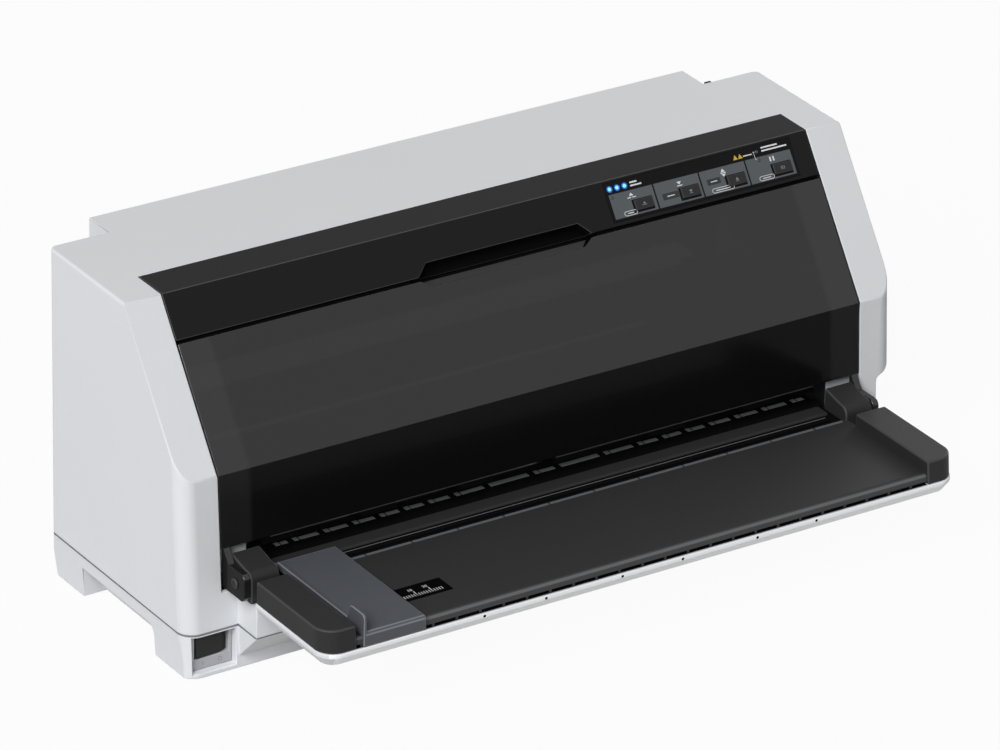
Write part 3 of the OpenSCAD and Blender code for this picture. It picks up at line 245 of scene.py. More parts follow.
# Each finish is its maker and what the maker takes. For moulded that is the colour, the roughness, the width
# and the height of the grain in millimetres, the drift of the tint, the specular level and the clear coat.
FINISHES = {
    # Pale ABS with a spark-eroded skin: even and matt, so it takes soft shading without a hard highlight
    "pale abs": (moulded, "case_colour", 0.55, 0.7, 0.02, 0.012, 0.35),
    # The same ABS on the switch's surround: a shade darker
    # The same ABS also makes a strip of painted shade on the tray's base under the table's lip
    "switch abs": (moulded, "#ABACB0", 0.45, 0.6, 0.015, 0.015),
    # The same on the front faces of the tray's base: smoother, so that it reflects the white floor, and paler
    # as a painted highlight
    "lip abs": (moulded, "#FAFBFC", 0.35, 0.7, 0.01, 0.01, 0.6),
    # The same in the shade of the gap between the two shells: a thin grey line round the casing
    "seam shade": (moulded, "#75777A", 0.8, 0.7, 0.01, 0.03, 0.1),
    # Black ABS, fine satin: nearly black, with a soft sheen at the folds
    "black abs": (moulded, "bezel_colour", 0.72, 0.6, 0.02, 0.03, 0.12),
    # The same on the bezel's rounded edges, paler and glossier: a painted highlight, a thin pale line along
    # the folds
    "black abs edge": (moulded, "#3C3C3D", 0.5, 0.6, 0.01, 0.03, 0.3),
    # Black ABS of the guide plate, left matt: it doesn't glare next to the paper
    # The same black is painted shade in the slots under the tray's lip and on the flanges behind the bezel's
    # gaps
    "matt black abs": (moulded, "#070708", 0.85, 0.7, 0.03, 0.03, 0.05),
    # Near black, unpolished: painted shade on the inner faces of the casing, in the tray's small holes and
    # inside the rear hood, so that the openings look deep
    "inner abs": (moulded, "#0E0E0F", 0.7, 0.9, 0.03, 0.03, 0.2),
    # Charcoal ABS of the tray: a coarser grain that hides the rub of the paper
    "charcoal abs": (moulded, "tray_colour", 0.64, 0.8, 0.03, 0.05, 0.22),
    # The same, paler and smoother: a painted highlight on the rounded edges of keys, shoulders and table, and
    # painted sheen on the front of the table's lip; the webs under the lip and the finger lip are of it too
    "charcoal abs edge": (moulded, "#3C3C3D", 0.55, 0.8, 0.01, 0.03, 0.2),
    # Grey ABS of the comb's pads: short pale marks before the dark guide plate
    "grey abs": (moulded, "#8A8C8E", 0.6, 0.8, 0.02, 0.08, 0.25),
    # Grey on the crest of the table's lip: a painted highlight, a thin line along the front
    "lip grey abs": (moulded, "#5C5D5E", 0.5, 0.8, 0.01, 0.03, 0.3),
    # Darker grey of the strips along the table's rear edge and of the line before the guide bar: painted
    # highlights of those edges, which hardly stand out
    "mid grey abs": (moulded, "#5E5F61", 0.6, 0.8, 0.02, 0.05, 0.25),
    # Slate ABS of the edge guide and of small pieces of the mechanism: bluish, with more sheen than the tray
    "slate abs": (moulded, "guide_colour", 0.5, 0.7, 0.02, 0.03, 0.35),
    # The same on its rounded edges, paler: a painted highlight, a thin line along them
    "slate abs edge": (moulded, "#74777C", 0.45, 0.7, 0.01, 0.03, 0.35),
    # Smoked acrylic of the cover's upper facet, clean enough to mirror the room
    "smoked acrylic": (smoked_acrylic, 0.5),
    # The same sheet below the fold, with a non-glare surface that stays nearly black
    "non-glare acrylic": (smoked_acrylic, 0.06),
    # Printed polyester film of the key panel, satin: black round the grey fields
    "panel film": (moulded, "#060607", 0.5, 0.5, 0.005, 0.03, 0.1),
    # Printed polyester film of the scale's label: blacker and duller than the table round it
    "label film": (moulded, "#020202", 0.6, 0.5, 0.005, 0.03, 0.02),
    # Screen inks: flat grey for the fields of the panel
    "grey ink": (ink, "#474C4F"),
    # Black for the boxes on the fields, which look cut out of them
    "black ink": (ink, "#0A0A0B"),
    # White for marks and scales, which are the brightest thing on the black
    "white ink": (ink, "#D9DBDD"),
    # Soft grey for the faint signs on keys and switch
    "soft grey ink": (ink, "#7C8083"),
    # Yellow for the two hints, the one warm colour on the outside
    "yellow ink": (ink, "#C9A227"),
    # Clear lenses over blue lights: small bright domes
    "blue lens": (lit_lens, "#5FB2FF", 1.5),
    # The light that spills into the film round them: a soft blue rim
    "blue spill": (lit_lens, "#0B4FA8", 0.8),
    # Lenses over lights that are off: dark, with a small highlight
    "dark lens": (lit_lens, "#2E3234", 0.0),
    # Grey on the tooth tips, paler than the steel in the shade of the cover: a painted highlight that shows
    # the tear line
    "tooth paint": (moulded, "#4E4F50", 0.5, 0.4, 0.01),
    # Moulded rubber: dark, matt and dusty
    "rubber": (moulded, "#1B1B1C", 0.8, 1.2, 0.05, 0.1, 0.3),
    # Zinc-plated rolled steel: pale, with fine streaks along the width
    "zinc steel": (metal, "#A9ADB0", 0.38, 3.0, 12.0),
    # Rolled strip steel of the tear edge: darker and sleeker
    "strip steel": (metal, "#8B8E90", 0.3, 4.0, 20.0),
    # Enamelled steel of the motor cans: dark grey under a glossy coat
    "enamelled steel": (moulded, "#3C3F42", 0.35, 1.5, 0.02, 0.03, 0.5, 0.3),
    # Die-cast aluminium of the print head: dull grey, with blasted specks
    "die-cast aluminium": (metal, "#6D7275", 0.5, 1.2, 1.0),
    # Moulded acetal: waxy and faintly yellow
    "acetal": (moulded, "#D9D6CC", 0.4, 1.0, 0.01),
    # Lacquered circuit board: glossy green under paler tracks
    "circuit board": (solder_mask, "#2F5B45"),
    # Woven nylon, inked: a dark band with a faint weave
    "inked nylon": (woven_nylon, "#141416"),
}


# ---------------------------------------------------------------- meshes

def link(name, data):
    """A new object at the origin that holds the data."""
    piece = bpy.data.objects.new(name, data)
    bpy.context.scene.collection.objects.link(piece)
    return piece


def solid(name, form, finish):
    """A new object from a form, which is used up, in one finish."""
    mesh = bpy.data.meshes.new(name)
    form.to_mesh(mesh)
    form.free()
    mesh.materials.append(finish_of(finish))
    return link(name, mesh)


def evaluated(piece):
    """The final mesh of a piece, with its modifiers in it."""
    bpy.context.view_layer.update()
    graph = bpy.context.evaluated_depsgraph_get()
    return bpy.data.meshes.new_from_object(piece.evaluated_get(graph))


def bake(piece):
    """Turns a piece and its modifiers into one plain mesh."""
    made = evaluated(piece)
    piece.modifiers.clear()
    piece.data = made
    made.name = piece.name


def merged(node):
    """A clean copy of a CAD node's triangles as a bmesh, with its flat faces made whole."""
    source = frame["nodes"][node].data
    mesh = bpy.data.meshes.new(node + "_copy")
    mesh.from_pydata([v.co[:] for v in source.vertices], [], [p.vertices[:] for p in source.polygons])
    form = bmesh.new()
    form.from_mesh(mesh)
    bpy.data.meshes.remove(mesh)
    bmesh.ops.remove_doubles(form, verts=form.verts, dist=SAME_POINT)
    bmesh.ops.dissolve_limit(form, angle_limit=SAME_FACE, verts=form.verts, edges=form.edges)
    return form


def finished(node, name, finish, radius, segments=2, inner=(), rub=None, shape_up=None):
    """A copy of a CAD node with rounded edges, which stands for the node. inner gives other finishes to the
    faces that a test of their centre and normal picks. The edge finish, if given, is a painted highlight on
    the rounded edges, and may come with a node whose box they stay out of. shape_up is a last touch to the
    form before its edges are rounded."""
    form = merged(node)
    if shape_up:
        shape_up(form)
    shape = BVHTree.FromBMesh(form)
    weight = form.edges.layers.float.new("bevel_weight_edge")
    for line in form.edges:
        if line.is_convex and line.calc_length() > SHORTEST and line.calc_face_angle() > FOLD:
            line[weight] = 1.0
    piece = solid(name, form, finish)
    mesh = piece.data
    for k, (other, test) in enumerate(inner):
        mesh.materials.append(finish_of(other))
        for face in mesh.polygons:
            if test(face.center, face.normal):
                face.material_index = k + 1
    bevel = piece.modifiers.new("Rounded edges", "BEVEL")
    bevel.width, bevel.segments = radius, segments
    bevel.limit_method = "WEIGHT"
    bevel.use_clamp_overlap = False
    bevel.miter_outer = "MITER_ARC"
    if rub:
        mesh.materials.append(finish_of(rub[0]))
        bevel.material = len(mesh.materials) - 1
    normals = piece.modifiers.new("Flat faces stay flat", "WEIGHTED_NORMAL")
    normals.keep_sharp = True
    for face in mesh.polygons:
        face.use_smooth = True
    mesh.set_sharp_from_angle(angle=FOLD)
    bake(piece)
    # where edges meet closer than the rounding reaches, its points go back to the surface
    for point in piece.data.vertices:
        near, _, _, gap = shape.find_nearest(point.co)
        if gap > radius:
            point.co = near
    if rub and len(rub) > 1:
        low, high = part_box(rub[1])
        margin = Vector((1, 1, 1)) * 2 * MM
        low, high = low - margin, high + margin
        for face in piece.data.polygons:
            if face.material_index and all(a < c < b for a, c, b in zip(low, face.center, high)):
                face.material_index = 0
    settle(piece, node, stands=True)
    return piece


def round_corners(half, front, radius, low, high, shrink_low, shrink_high):
    """A touch that rounds the two front corners of a plan, whose round may shrink towards the foot or the
    top."""
    def touch(form):
        steps = 8
        for side in (-1, 1):
            for k in range(steps + 1):
                a = math.radians(90 * k / steps)
                away = Vector((side * math.cos(a), -math.sin(a), 0))
                centre = Vector((side * (half - radius), front + radius, 0))
                foot = centre + away * (radius - shrink_low(a)) + Vector((0, 0, low))
                top = centre + away * (radius - shrink_high(a)) + Vector((0, 0, high))
                rise = (top - foot).normalized()
                normal = away - rise * away.dot(rise)
                cut = bmesh.ops.bisect_plane(
                    form, geom=form.verts[:] + form.edges[:] + form.faces[:], plane_co=foot,
                    plane_no=normal.normalized(), clear_outer=True, dist=0.0005 * MM)
                rim = [g for g in cut["geom_cut"] if isinstance(g, bmesh.types.BMEdge)]
                if rim:
                    bmesh.ops.holes_fill(form, edges=rim)
        bmesh.ops.recalc_face_normals(form, faces=form.faces)
    return touch


def settle(piece, node, stands=False):
    """Makes the piece ride on the node's body, and stand for the node if told to."""
    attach(piece, BODY_OF[node])
    if stands:
        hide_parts(node)


def prisms(name, outlines, low, high, place, finish, node, stands=False):
    """Flat prints on a CAD node as thin solids: each outline, or pair of outer and inner outline, from low to
    high in millimetres above the plane of the matrix place."""
    form = bmesh.new()
    for outline in outlines:
        outer, inner = outline if isinstance(outline, tuple) else (outline, None)
        rings = [[form.verts.new(place @ Vector((x, y, z * MM))) for x, y in path]
                 for path in (outer, inner) if path for z in (low, high)]
        n = len(outer)
        for i in range(n):
            j = (i + 1) % n
            form.faces.new((rings[0][i], rings[0][j], rings[1][j], rings[1][i]))
            if inner:
                form.faces.new((rings[2][j], rings[2][i], rings[3][i], rings[3][j]))
                form.faces.new((rings[1][i], rings[1][j], rings[3][j], rings[3][i]))
                form.faces.new((rings[0][j], rings[0][i], rings[2][i], rings[2][j]))
        if not inner:
            form.faces.new(rings[1])
            form.faces.new(list(reversed(rings[0])))
    settle(solid(name, form, finish), node, stands)


def bar(x0, y0, x1, y1):
    """A rectangle, in millimetres."""
    return [(x * MM, y * MM) for x, y in ((x0, y0), (x1, y0), (x1, y1), (x0, y1))]


def loop(x, y, half_w, half_h, radius, steps=5):
    """A rectangle with round corners about its centre, in millimetres."""
    points = []
    for cx, cy, turn in ((1, 1, 0), (-1, 1, 90), (-1, -1, 180), (1, -1, 270)):
        for k in range(steps + 1):
            a = math.radians(turn + 90 * k / steps)
            points.append(((x + cx * (half_w - radius) + radius * math.cos(a)) * MM,
                           (y + cy * (half_h - radius) + radius * math.sin(a)) * MM))
    return points


def ring(x, y, half_w, half_h, radius, line):
    """The outline of a rounded rectangle, line millimetres wide."""
    inner = loop(x, y, half_w - line, half_h - line, max(radius - line, 0.01))
    return loop(x, y, half_w, half_h, radius), inner


def pointer(x, y, half_w, height):
    """A triangle that points up the plane, or down it if its height is negative."""
    points = [(x - half_w, y), (x + half_w, y), (x, y + height)]
    return [(px * MM, py * MM) for px, py in (points if height > 0 else reversed(points))]


# ---------------------------------------------------------------- rows, as Geometry Nodes

def row_tree():
    """Geometry Nodes for a straight row of equal bars. Count, start, step, size and material are inputs."""
    found = bpy.data.node_groups.get("Row of bars")
    if found:
        return found
    tree = bpy.data.node_groups.new("Row of bars", "GeometryNodeTree")
    for name, kind in (("Count", "Int"), ("Start", "Vector"), ("Step", "Vector"), ("Size", "Vector"),
                       ("Material", "Material")):
        tree.interface.new_socket(name, in_out="INPUT", socket_type="NodeSocket" + kind)
    tree.interface.new_socket("Geometry", in_out="OUTPUT", socket_type="NodeSocketGeometry")
    given = add(tree, "NodeGroupInput").outputs
    line = add(
        tree, "GeometryNodeMeshLine", {"mode": "OFFSET"},
        {"Count": given["Count"], "Start Location": given["Start"], "Offset": given["Step"]})
    block = add(tree, "GeometryNodeMeshCube", links={"Size": given["Size"]})
    copies = add(
        tree, "GeometryNodeInstanceOnPoints",
        links={"Points": line.outputs["Mesh"], "Instance": block.outputs["Mesh"]})
    real = add(tree, "GeometryNodeRealizeInstances", links={"Geometry": copies.outputs["Instances"]})
    painted = add(
        tree, "GeometryNodeSetMaterial",
        links={"Geometry": real.outputs["Geometry"], "Material": given["Material"]})
    add(tree, "NodeGroupOutput", links={"Geometry": painted.outputs["Geometry"]})
    return tree


def row(name, count, start, step, size, finish, node, place=None):
    """A baked row of bars on a CAD node, with its sizes in millimetres, laid on the matrix place."""
    piece = link(name, bpy.data.meshes.new(name))
    maker = piece.modifiers.new("Row", "NODES")
    maker.node_group = row_tree()
    values = {
        "Count": count, "Start": [v * MM for v in start], "Step": [v * MM for v in step],
        "Size": [v * MM for v in size], "Material": finish_of(finish)}
    for item in maker.node_group.interface.items_tree:
        if item.in_out == "INPUT":
            maker[item.identifier] = values[item.name]
    bake(piece)
    if place:
        piece.data.transform(place)
    settle(piece, node)


# ---------------------------------------------------------------- places

def slope_place():
    """The plane of the key panel at its lower left outer corner: x along the width, y up the slope, z out."""
    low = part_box("panel_plate")[0]
    up = Vector((0, SLOPE_RUN, SLOPE_RISE)).normalized()
    out = Vector((0, -up.z, up.y))
    corner = Vector((low.x, low.y, low.z + PLATE_T * up.y))
    return Matrix((
        (1, 0, 0, corner.x), (0, up.y, out.y, corner.y), (0, up.z, out.z, corner.z), (0, 0, 0, 1)))


def slope_middle():
    """The same plane, with x from the middle of the width."""
    return slope_place() @ Matrix.Translation((-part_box("panel_plate")[0].x, 0, 0))


# ---------------------------------------------------------------- sizes and colours to change

class PrinterLooks(PropertyGroup):
    """Sizes and colours of the finished printer."""

    case_colour: FloatVectorProperty(
        name="Casing", description="Colour of the pale casing", subtype="COLOR", size=4, min=0, max=1,
        default=linear("#DADCDF"))
    bezel_colour: FloatVectorProperty(
        name="Bezel", description="Colour of the black front pieces", subtype="COLOR", size=4, min=0, max=1,
        default=linear("#151516"))
    tray_colour: FloatVectorProperty(
        name="Tray", description="Colour of the charcoal tray", subtype="COLOR", size=4, min=0, max=1,
        default=linear("#242425"))
    guide_colour: FloatVectorProperty(
        name="Edge guide", description="Colour of the sliding guide", subtype="COLOR", size=4, min=0, max=1,
        default=linear("#4B4E53"))
    case_edge: FloatProperty(
        name="Casing edges", description="Radius of the casing's edges", unit="LENGTH", default=0.6 * MM)
    tray_edge: FloatProperty(
        name="Tray edges", description="Radius of the tray's edges", unit="LENGTH", default=0.9 * MM)


class PrinterStage(PropertyGroup):
    """Light and camera."""

    floor_size: FloatProperty(
        name="Floor", description="Width of the floor", unit="LENGTH", default=24.0)
    lens: FloatProperty(
        name="Lens", description="Focal length of the camera in millimetres", unit="CAMERA", default=259.0)
    key_power: FloatProperty(
        name="Key light", description="Power of the large soft light", unit="POWER", default=695.0)
    fill_power: FloatProperty(
        name="Fill light", description="Power of the light from the right rear", unit="POWER", default=50.0)


def looks():
    """The printer's sizes and colours in this scene."""
    return bpy.context.scene.printer_looks


# ---------------------------------------------------------------- operators

class PRINTER_OT_casing(Operator):
    """Finish the two casing shells and the feet"""

    bl_idname = "printer.casing"
    bl_label = "Casing"

    def execute(self, context):
        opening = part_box("front_bezel")[1].x + 3 * MM
        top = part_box("upper_case")[1].z
        # the knee of the cheeks, the rear wall, the ledge under the cover and the apron's foot
        knee, rear, ledge, apron = -29.5 * MM, 115 * MM, 75 * MM, 30 * MM
        edge = looks().case_edge

        def inside(centre, normal):
            """True for the faces of the casing's inner side, which the opening shows: they are painted dark
            as shade.
            """
            # beyond the rear wall, the inner face of the hood's back, painted dark as shade too
            if centre.y > rear:
                return normal.y < -0.9
            before_ledge = centre.y < knee + 12 * MM and centre.z < ledge
            return (abs(centre.x) < opening and knee - 2 * MM < centre.y < rear - 1 * MM
                    and apron < centre.z < top - 1 * MM and not before_ledge)

        finished("upper_case", "casing_upper", "pale abs", edge, inner=[("inner abs", inside)])
        lower = finished("lower_case", "casing_lower", "pale abs", edge)
        # the shade in the gap between the shells
        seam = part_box("lower_case")[1].z
        lower.data.materials.append(finish_of("seam shade"))
        for face in lower.data.polygons:
            if seam - edge < face.center.z < seam and abs(face.normal.z) > 0.1:
                face.material_index = 1
        finished("rubber_feet", "feet", "rubber", 0.4 * MM)
        return {"FINISHED"}


class PRINTER_OT_bezel(Operator):
    """Finish the black bezel with its finger recess"""

    bl_idname = "printer.bezel"
    bl_label = "Bezel"

    def execute(self, context):
        middle = slope_middle()
        flat = middle.inverted()

        def pocket(centre, normal):
            """True for the faces of the finger recess."""
            here = flat @ centre
            return abs(centre.x) < 66 * MM and here.z < -0.5 * MM and -4 * MM < here.y < 12 * MM

        # the bezel's rounded edges take the paler finish as a painted highlight along the folds
        finished("front_bezel", "bezel", "black abs", 0.35 * MM, inner=[("matt black abs", pocket)],
                 rub=("black abs edge", "panel_plate"))
        # flanges behind the gap between bezel and cover, in matt black as painted shade that keeps the view
        # into
        # the casing shut: their outlines in the plane of the panel, and their depths behind it
        sides = [bar(-212.5, -6.5, -62.5, -1.2), bar(62.5, -6.5, 212.5, -1.2)]
        prisms("bezel_flange", sides, -3.4, -2.6, middle, "matt black abs", "front_bezel")
        below = [bar(-57.5, -9.5, 57.5, -1.5)]
        prisms("recess_flange", below, -11.9, -11.1, middle, "matt black abs", "front_bezel")
        return {"FINISHED"}


class PRINTER_OT_key_panel(Operator):
    """Print the key panel and finish its keys and lights"""

    bl_idname = "printer.key_panel"
    bl_label = "Key panel"

    key_x: FloatProperty(
        name="First key", description="Distance of the first key from the panel's edge in mm", default=22.6)
    key_step: FloatProperty(name="Key step", description="Distance between keys in mm", default=32.1)
    key_y: FloatProperty(name="Key height", description="Height of the keys up the panel in mm", default=6.75)

    def execute(self, context):
        place = slope_place()
        finished("panel_plate", "panel", "panel film", 0.1 * MM, 1)
        keys = ("tear_off_button", "line_feed_button", "load_eject_button", "pause_button")
        centres = [self.key_x + i * self.key_step for i in range(len(keys))]
        # four grey fields, each with an opening for its key
        foot, top = 1.5, 16.1
        fields = []
        for (x0, x1), x in zip([(1.7, 31.2), (32.2, 62.7), (63.7, 94.9), (95.9, 127.3)], centres):
            low, high, left, right = self.key_y - 4.3, self.key_y + 3.5, x - 7.4, x + 6.6
            fields += [bar(x0, foot, x1, low), bar(x0, high, x1, top), bar(x0, low, left, high)]
            if right < x1:
                fields.append(bar(right, low, x1, high))
        # black boxes beside the second and third key
        boxes = [loop(41.5, 7.2, 5.6, 1.9, 0.6), loop(71.8, 8.9, 4.6, 1.8, 0.6)]
        # generic marks: bars and pointers over the keys, small rounded frames, and rules where words would be
        marks = [
            bar(13.2, 11.6, 15.6, 12.1), bar(16.6, 11.6, 19, 12.1), pointer(16.1, 12.8, 1.5, 1.8),
            pointer(49.0, 13.9, 1.5, -1.8), bar(47.2, 11.3, 50.8, 11.8),
            pointer(79.4, 13.0, 1.5, 1.8), bar(77.6, 12.1, 81.2, 12.6), pointer(79.4, 11.7, 1.5, -1.6),
            bar(112.2, 11.9, 113.2, 14.7), bar(114.4, 11.9, 115.4, 14.7),
            bar(39.0, 6.9, 44.0, 7.4), bar(69.6, 8.6, 74.0, 9.1),
            ring(12.6, 3.3, 4.4, 1.4, 1.35, 0.3), ring(76.5, 3.4, 7.6, 1.4, 1.35, 0.3),
            ring(107.0, 3.4, 5.2, 1.4, 1.35, 0.3),
            bar(10.8, 3.05, 14.4, 3.5), bar(71.5, 3.15, 81.5, 3.6), bar(104.2, 3.15, 109.8, 3.6),
            bar(17.4, 18.0, 25.0, 18.9), bar(17.4, 19.9, 22.4, 20.8),
            bar(95.6, 18.4, 101.6, 19.0), bar(108.6, 18.6, 126.0, 19.5), bar(108.6, 20.5, 120.0, 21.4),
            bar(102.4, 19.4, 103.8, 19.65), bar(103.0, 15.0, 103.25, 19.4), bar(103.0, 15.0, 104.2, 15.25),
        ]
        hints = [pointer(90.2, 17.8, 1.6, 2.8), pointer(93.6, 17.8, 1.6, 2.8)]
        for name, outlines, low, high, finish in (
                ("fields", fields, 0, 0.04, "grey ink"), ("boxes", boxes, 0.04, 0.06, "black ink"),
                ("marks", marks, 0.04, 0.08, "white ink"), ("hints", hints, 0, 0.06, "yellow ink")):
            prisms("panel_" + name, outlines, low, high, place, finish, "panel_plate")
        for i, (node, x) in enumerate(zip(keys, centres)):
            # the keys' rounded edges take the paler finish as a painted highlight
            finished(node, f"key_{i + 1}", "charcoal abs", 0.3 * MM, rub=("charcoal abs edge",))
            sign = self.signs(x, self.key_y)[i]
            prisms(f"key_sign_{i + 1}", sign, 0.9, 0.93, place, "soft grey ink", node)
        self.lights(place)
        return {"FINISHED"}

    def signs(self, x, y):
        """The faint signs on the four keys, each about one centre."""
        return (
            [bar(x - 1.6, y - 0.9, x + 1.6, y - 0.6), pointer(x, y - 0.2, 0.9, 1.2)],
            [pointer(x, y + 0.9, 1.1, -1.6), bar(x - 1.1, y - 1.2, x + 1.1, y - 0.9)],
            [pointer(x, y - 0.4, 1.1, 1.6), bar(x - 1.1, y - 1.2, x + 1.1, y - 0.9)],
            [bar(x - 1.3, y - 1.0, x - 0.9, y + 1.0), bar(x - 0.4, y - 1.0, x, y + 1.0),
             bar(x + 0.7, y - 1.0, x + 1.1, y + 1.0)],
        )

    def lights(self, place):
        """Domed lenses: the first three glow, and the others are off."""
        flat = place.inverted()
        form = merged("indicator_lights")
        # each lens is a part of the node that hangs together: its middle and its radius on the panel
        spots, left = [], set(form.verts)
        while left:
            lens, edge = set(), {left.pop()}
            while edge:
                lens |= edge
                edge = {e.other_vert(v) for v in edge for e in v.link_edges} - lens
            left -= lens
            xs, ys = zip(*((flat @ v.co)[:2] for v in lens))
            spots.append(((min(xs) + max(xs)) / 2, (min(ys) + max(ys)) / 2, (max(xs) - min(xs)) / 2))
        form.free()
        spots.sort()
        top = max(s[1] for s in spots)
        lit = [s for s in spots if s[1] > top - 1 * MM and s[0] < 20 * MM]
        dark = [s for s in spots if s not in lit]
        spill = [loop(x / MM, y / MM, 1.9, 1.9, 1.89, 6) for x, y, _ in lit]
        prisms("light_spill", spill, 0, PRINT_H, place, "blue spill", "panel_plate")
        for name, group, finish in (("lights_lit", lit, "blue lens"), ("lights_off", dark, "dark lens")):
            form = bmesh.new()
            for x, y, r in group:
                self.dome(form, x, y, r, place)
            piece = solid(name, form, finish)
            for face in piece.data.polygons:
                face.use_smooth = True
            settle(piece, "indicator_lights", stands=group is lit)

    def dome(self, form, x, y, r, place):
        """A closed lens: a short round wall under a shallow dome."""
        sides, rings = 24, 4
        wall, rise = 0.1 * MM, 0.35 * MM
        bends = [math.radians(90 * k / rings) for k in range(rings)]
        profile = [(r, -PLATE_T)] + [(r * math.cos(a), wall + rise * math.sin(a)) for a in bends]
        turns = [math.tau * i / sides for i in range(sides)]
        loops = [
            [form.verts.new(place @ Vector((x + q * math.cos(t), y + q * math.sin(t), z))) for t in turns]
            for q, z in profile]
        crown = form.verts.new(place @ Vector((x, y, wall + rise)))
        for i in range(sides):
            j = (i + 1) % sides
            for lower, upper in zip(loops, loops[1:]):
                form.faces.new((lower[i], lower[j], upper[j], upper[i]))
            form.faces.new((loops[-1][i], loops[-1][j], crown))
        form.faces.new(list(reversed(loops[0])))


class PRINTER_OT_cover(Operator):
    """Finish the smoked cover with its finger lip, its tear edge and the tips of its teeth"""

    bl_idname = "printer.cover"
    bl_label = "Cover"

    tooth_step: FloatProperty(
        name="Tooth step", description="Distance between tooth tips in mm", default=1.27)
    skirt: FloatProperty(
        name="Lower facet", description="Height of the fold above the cover's lowest point", unit="LENGTH",
        default=68 * MM)

    def execute(self, context):
        # the slanted floor of the finger recess, which belongs to the cover: its lower and upper edge as half
        # width, distance up the panel's plane and depth behind it, and its thickness, in millimetres
        edges, thick = ((50.8, -8.9, -2.7), (57.0, -4.6, -7.2)), 1.2
        place = slope_middle()
        form = bmesh.new()
        (a, b), (c, d), (e, f), (g, h) = [
            [form.verts.new(place @ (Vector((side * half, up, depth - back)) * MM)) for side in (-1, 1)]
            for back in (0, thick) for half, up, depth in edges]
        for corners in ((a, b, d, c), (g, h, f, e), (a, c, g, e), (d, b, f, h), (b, a, e, f), (c, d, h, g)):
            form.faces.new(corners)
        bmesh.ops.recalc_face_normals(form, faces=form.faces)
        settle(solid("finger_lip", form, "charcoal abs edge"), "front_cover")
        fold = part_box("front_cover")[0].z + self.skirt

        def skirt(centre, normal):
            """True for the faces below the fold."""
            return centre.z < fold and abs(normal.z) < 0.3

        finished("front_cover", "cover", "smoked acrylic", 0.4 * MM, inner=[("non-glare acrylic", skirt)])
        finished("cover_tear_edge", "tear_strip", "strip steel", 0.08 * MM, 1)
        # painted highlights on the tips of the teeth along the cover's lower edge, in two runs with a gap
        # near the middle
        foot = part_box("cover_tear_edge")[0]
        level = foot.z + 0.8 * MM
        face = min(v.co.y for v in frame["nodes"]["front_cover"].data.vertices
                   if abs(v.co.x) > abs(foot.x) and abs(v.co.z - level) < 1 * MM)
        tooth = (0.55, 0.3, 0.5)
        for side, start, count in (("left", -183.0, 136), ("right", 5.9, 140)):
            row("teeth_" + side, count, (start, 0.05, 0), (self.tooth_step, 0, 0), tooth, "tooth paint",
                "cover_tear_edge", Matrix.Translation((0, face, level)))
        return {"FINISHED"}


class PRINTER_OT_shoulders(Operator):
    """Finish the two shoulders that carry the cover"""

    bl_idname = "printer.shoulders"
    bl_label = "Shoulders"

    def execute(self, context):
        for side in ("left", "right"):
            # the shoulders' rounded edges take the paler finish as a painted highlight
            finished(side + "_shoulder", "shoulder_" + side, "charcoal abs", 0.9 * MM, 3,
                     rub=("charcoal abs edge",))
        return {"FINISHED"}


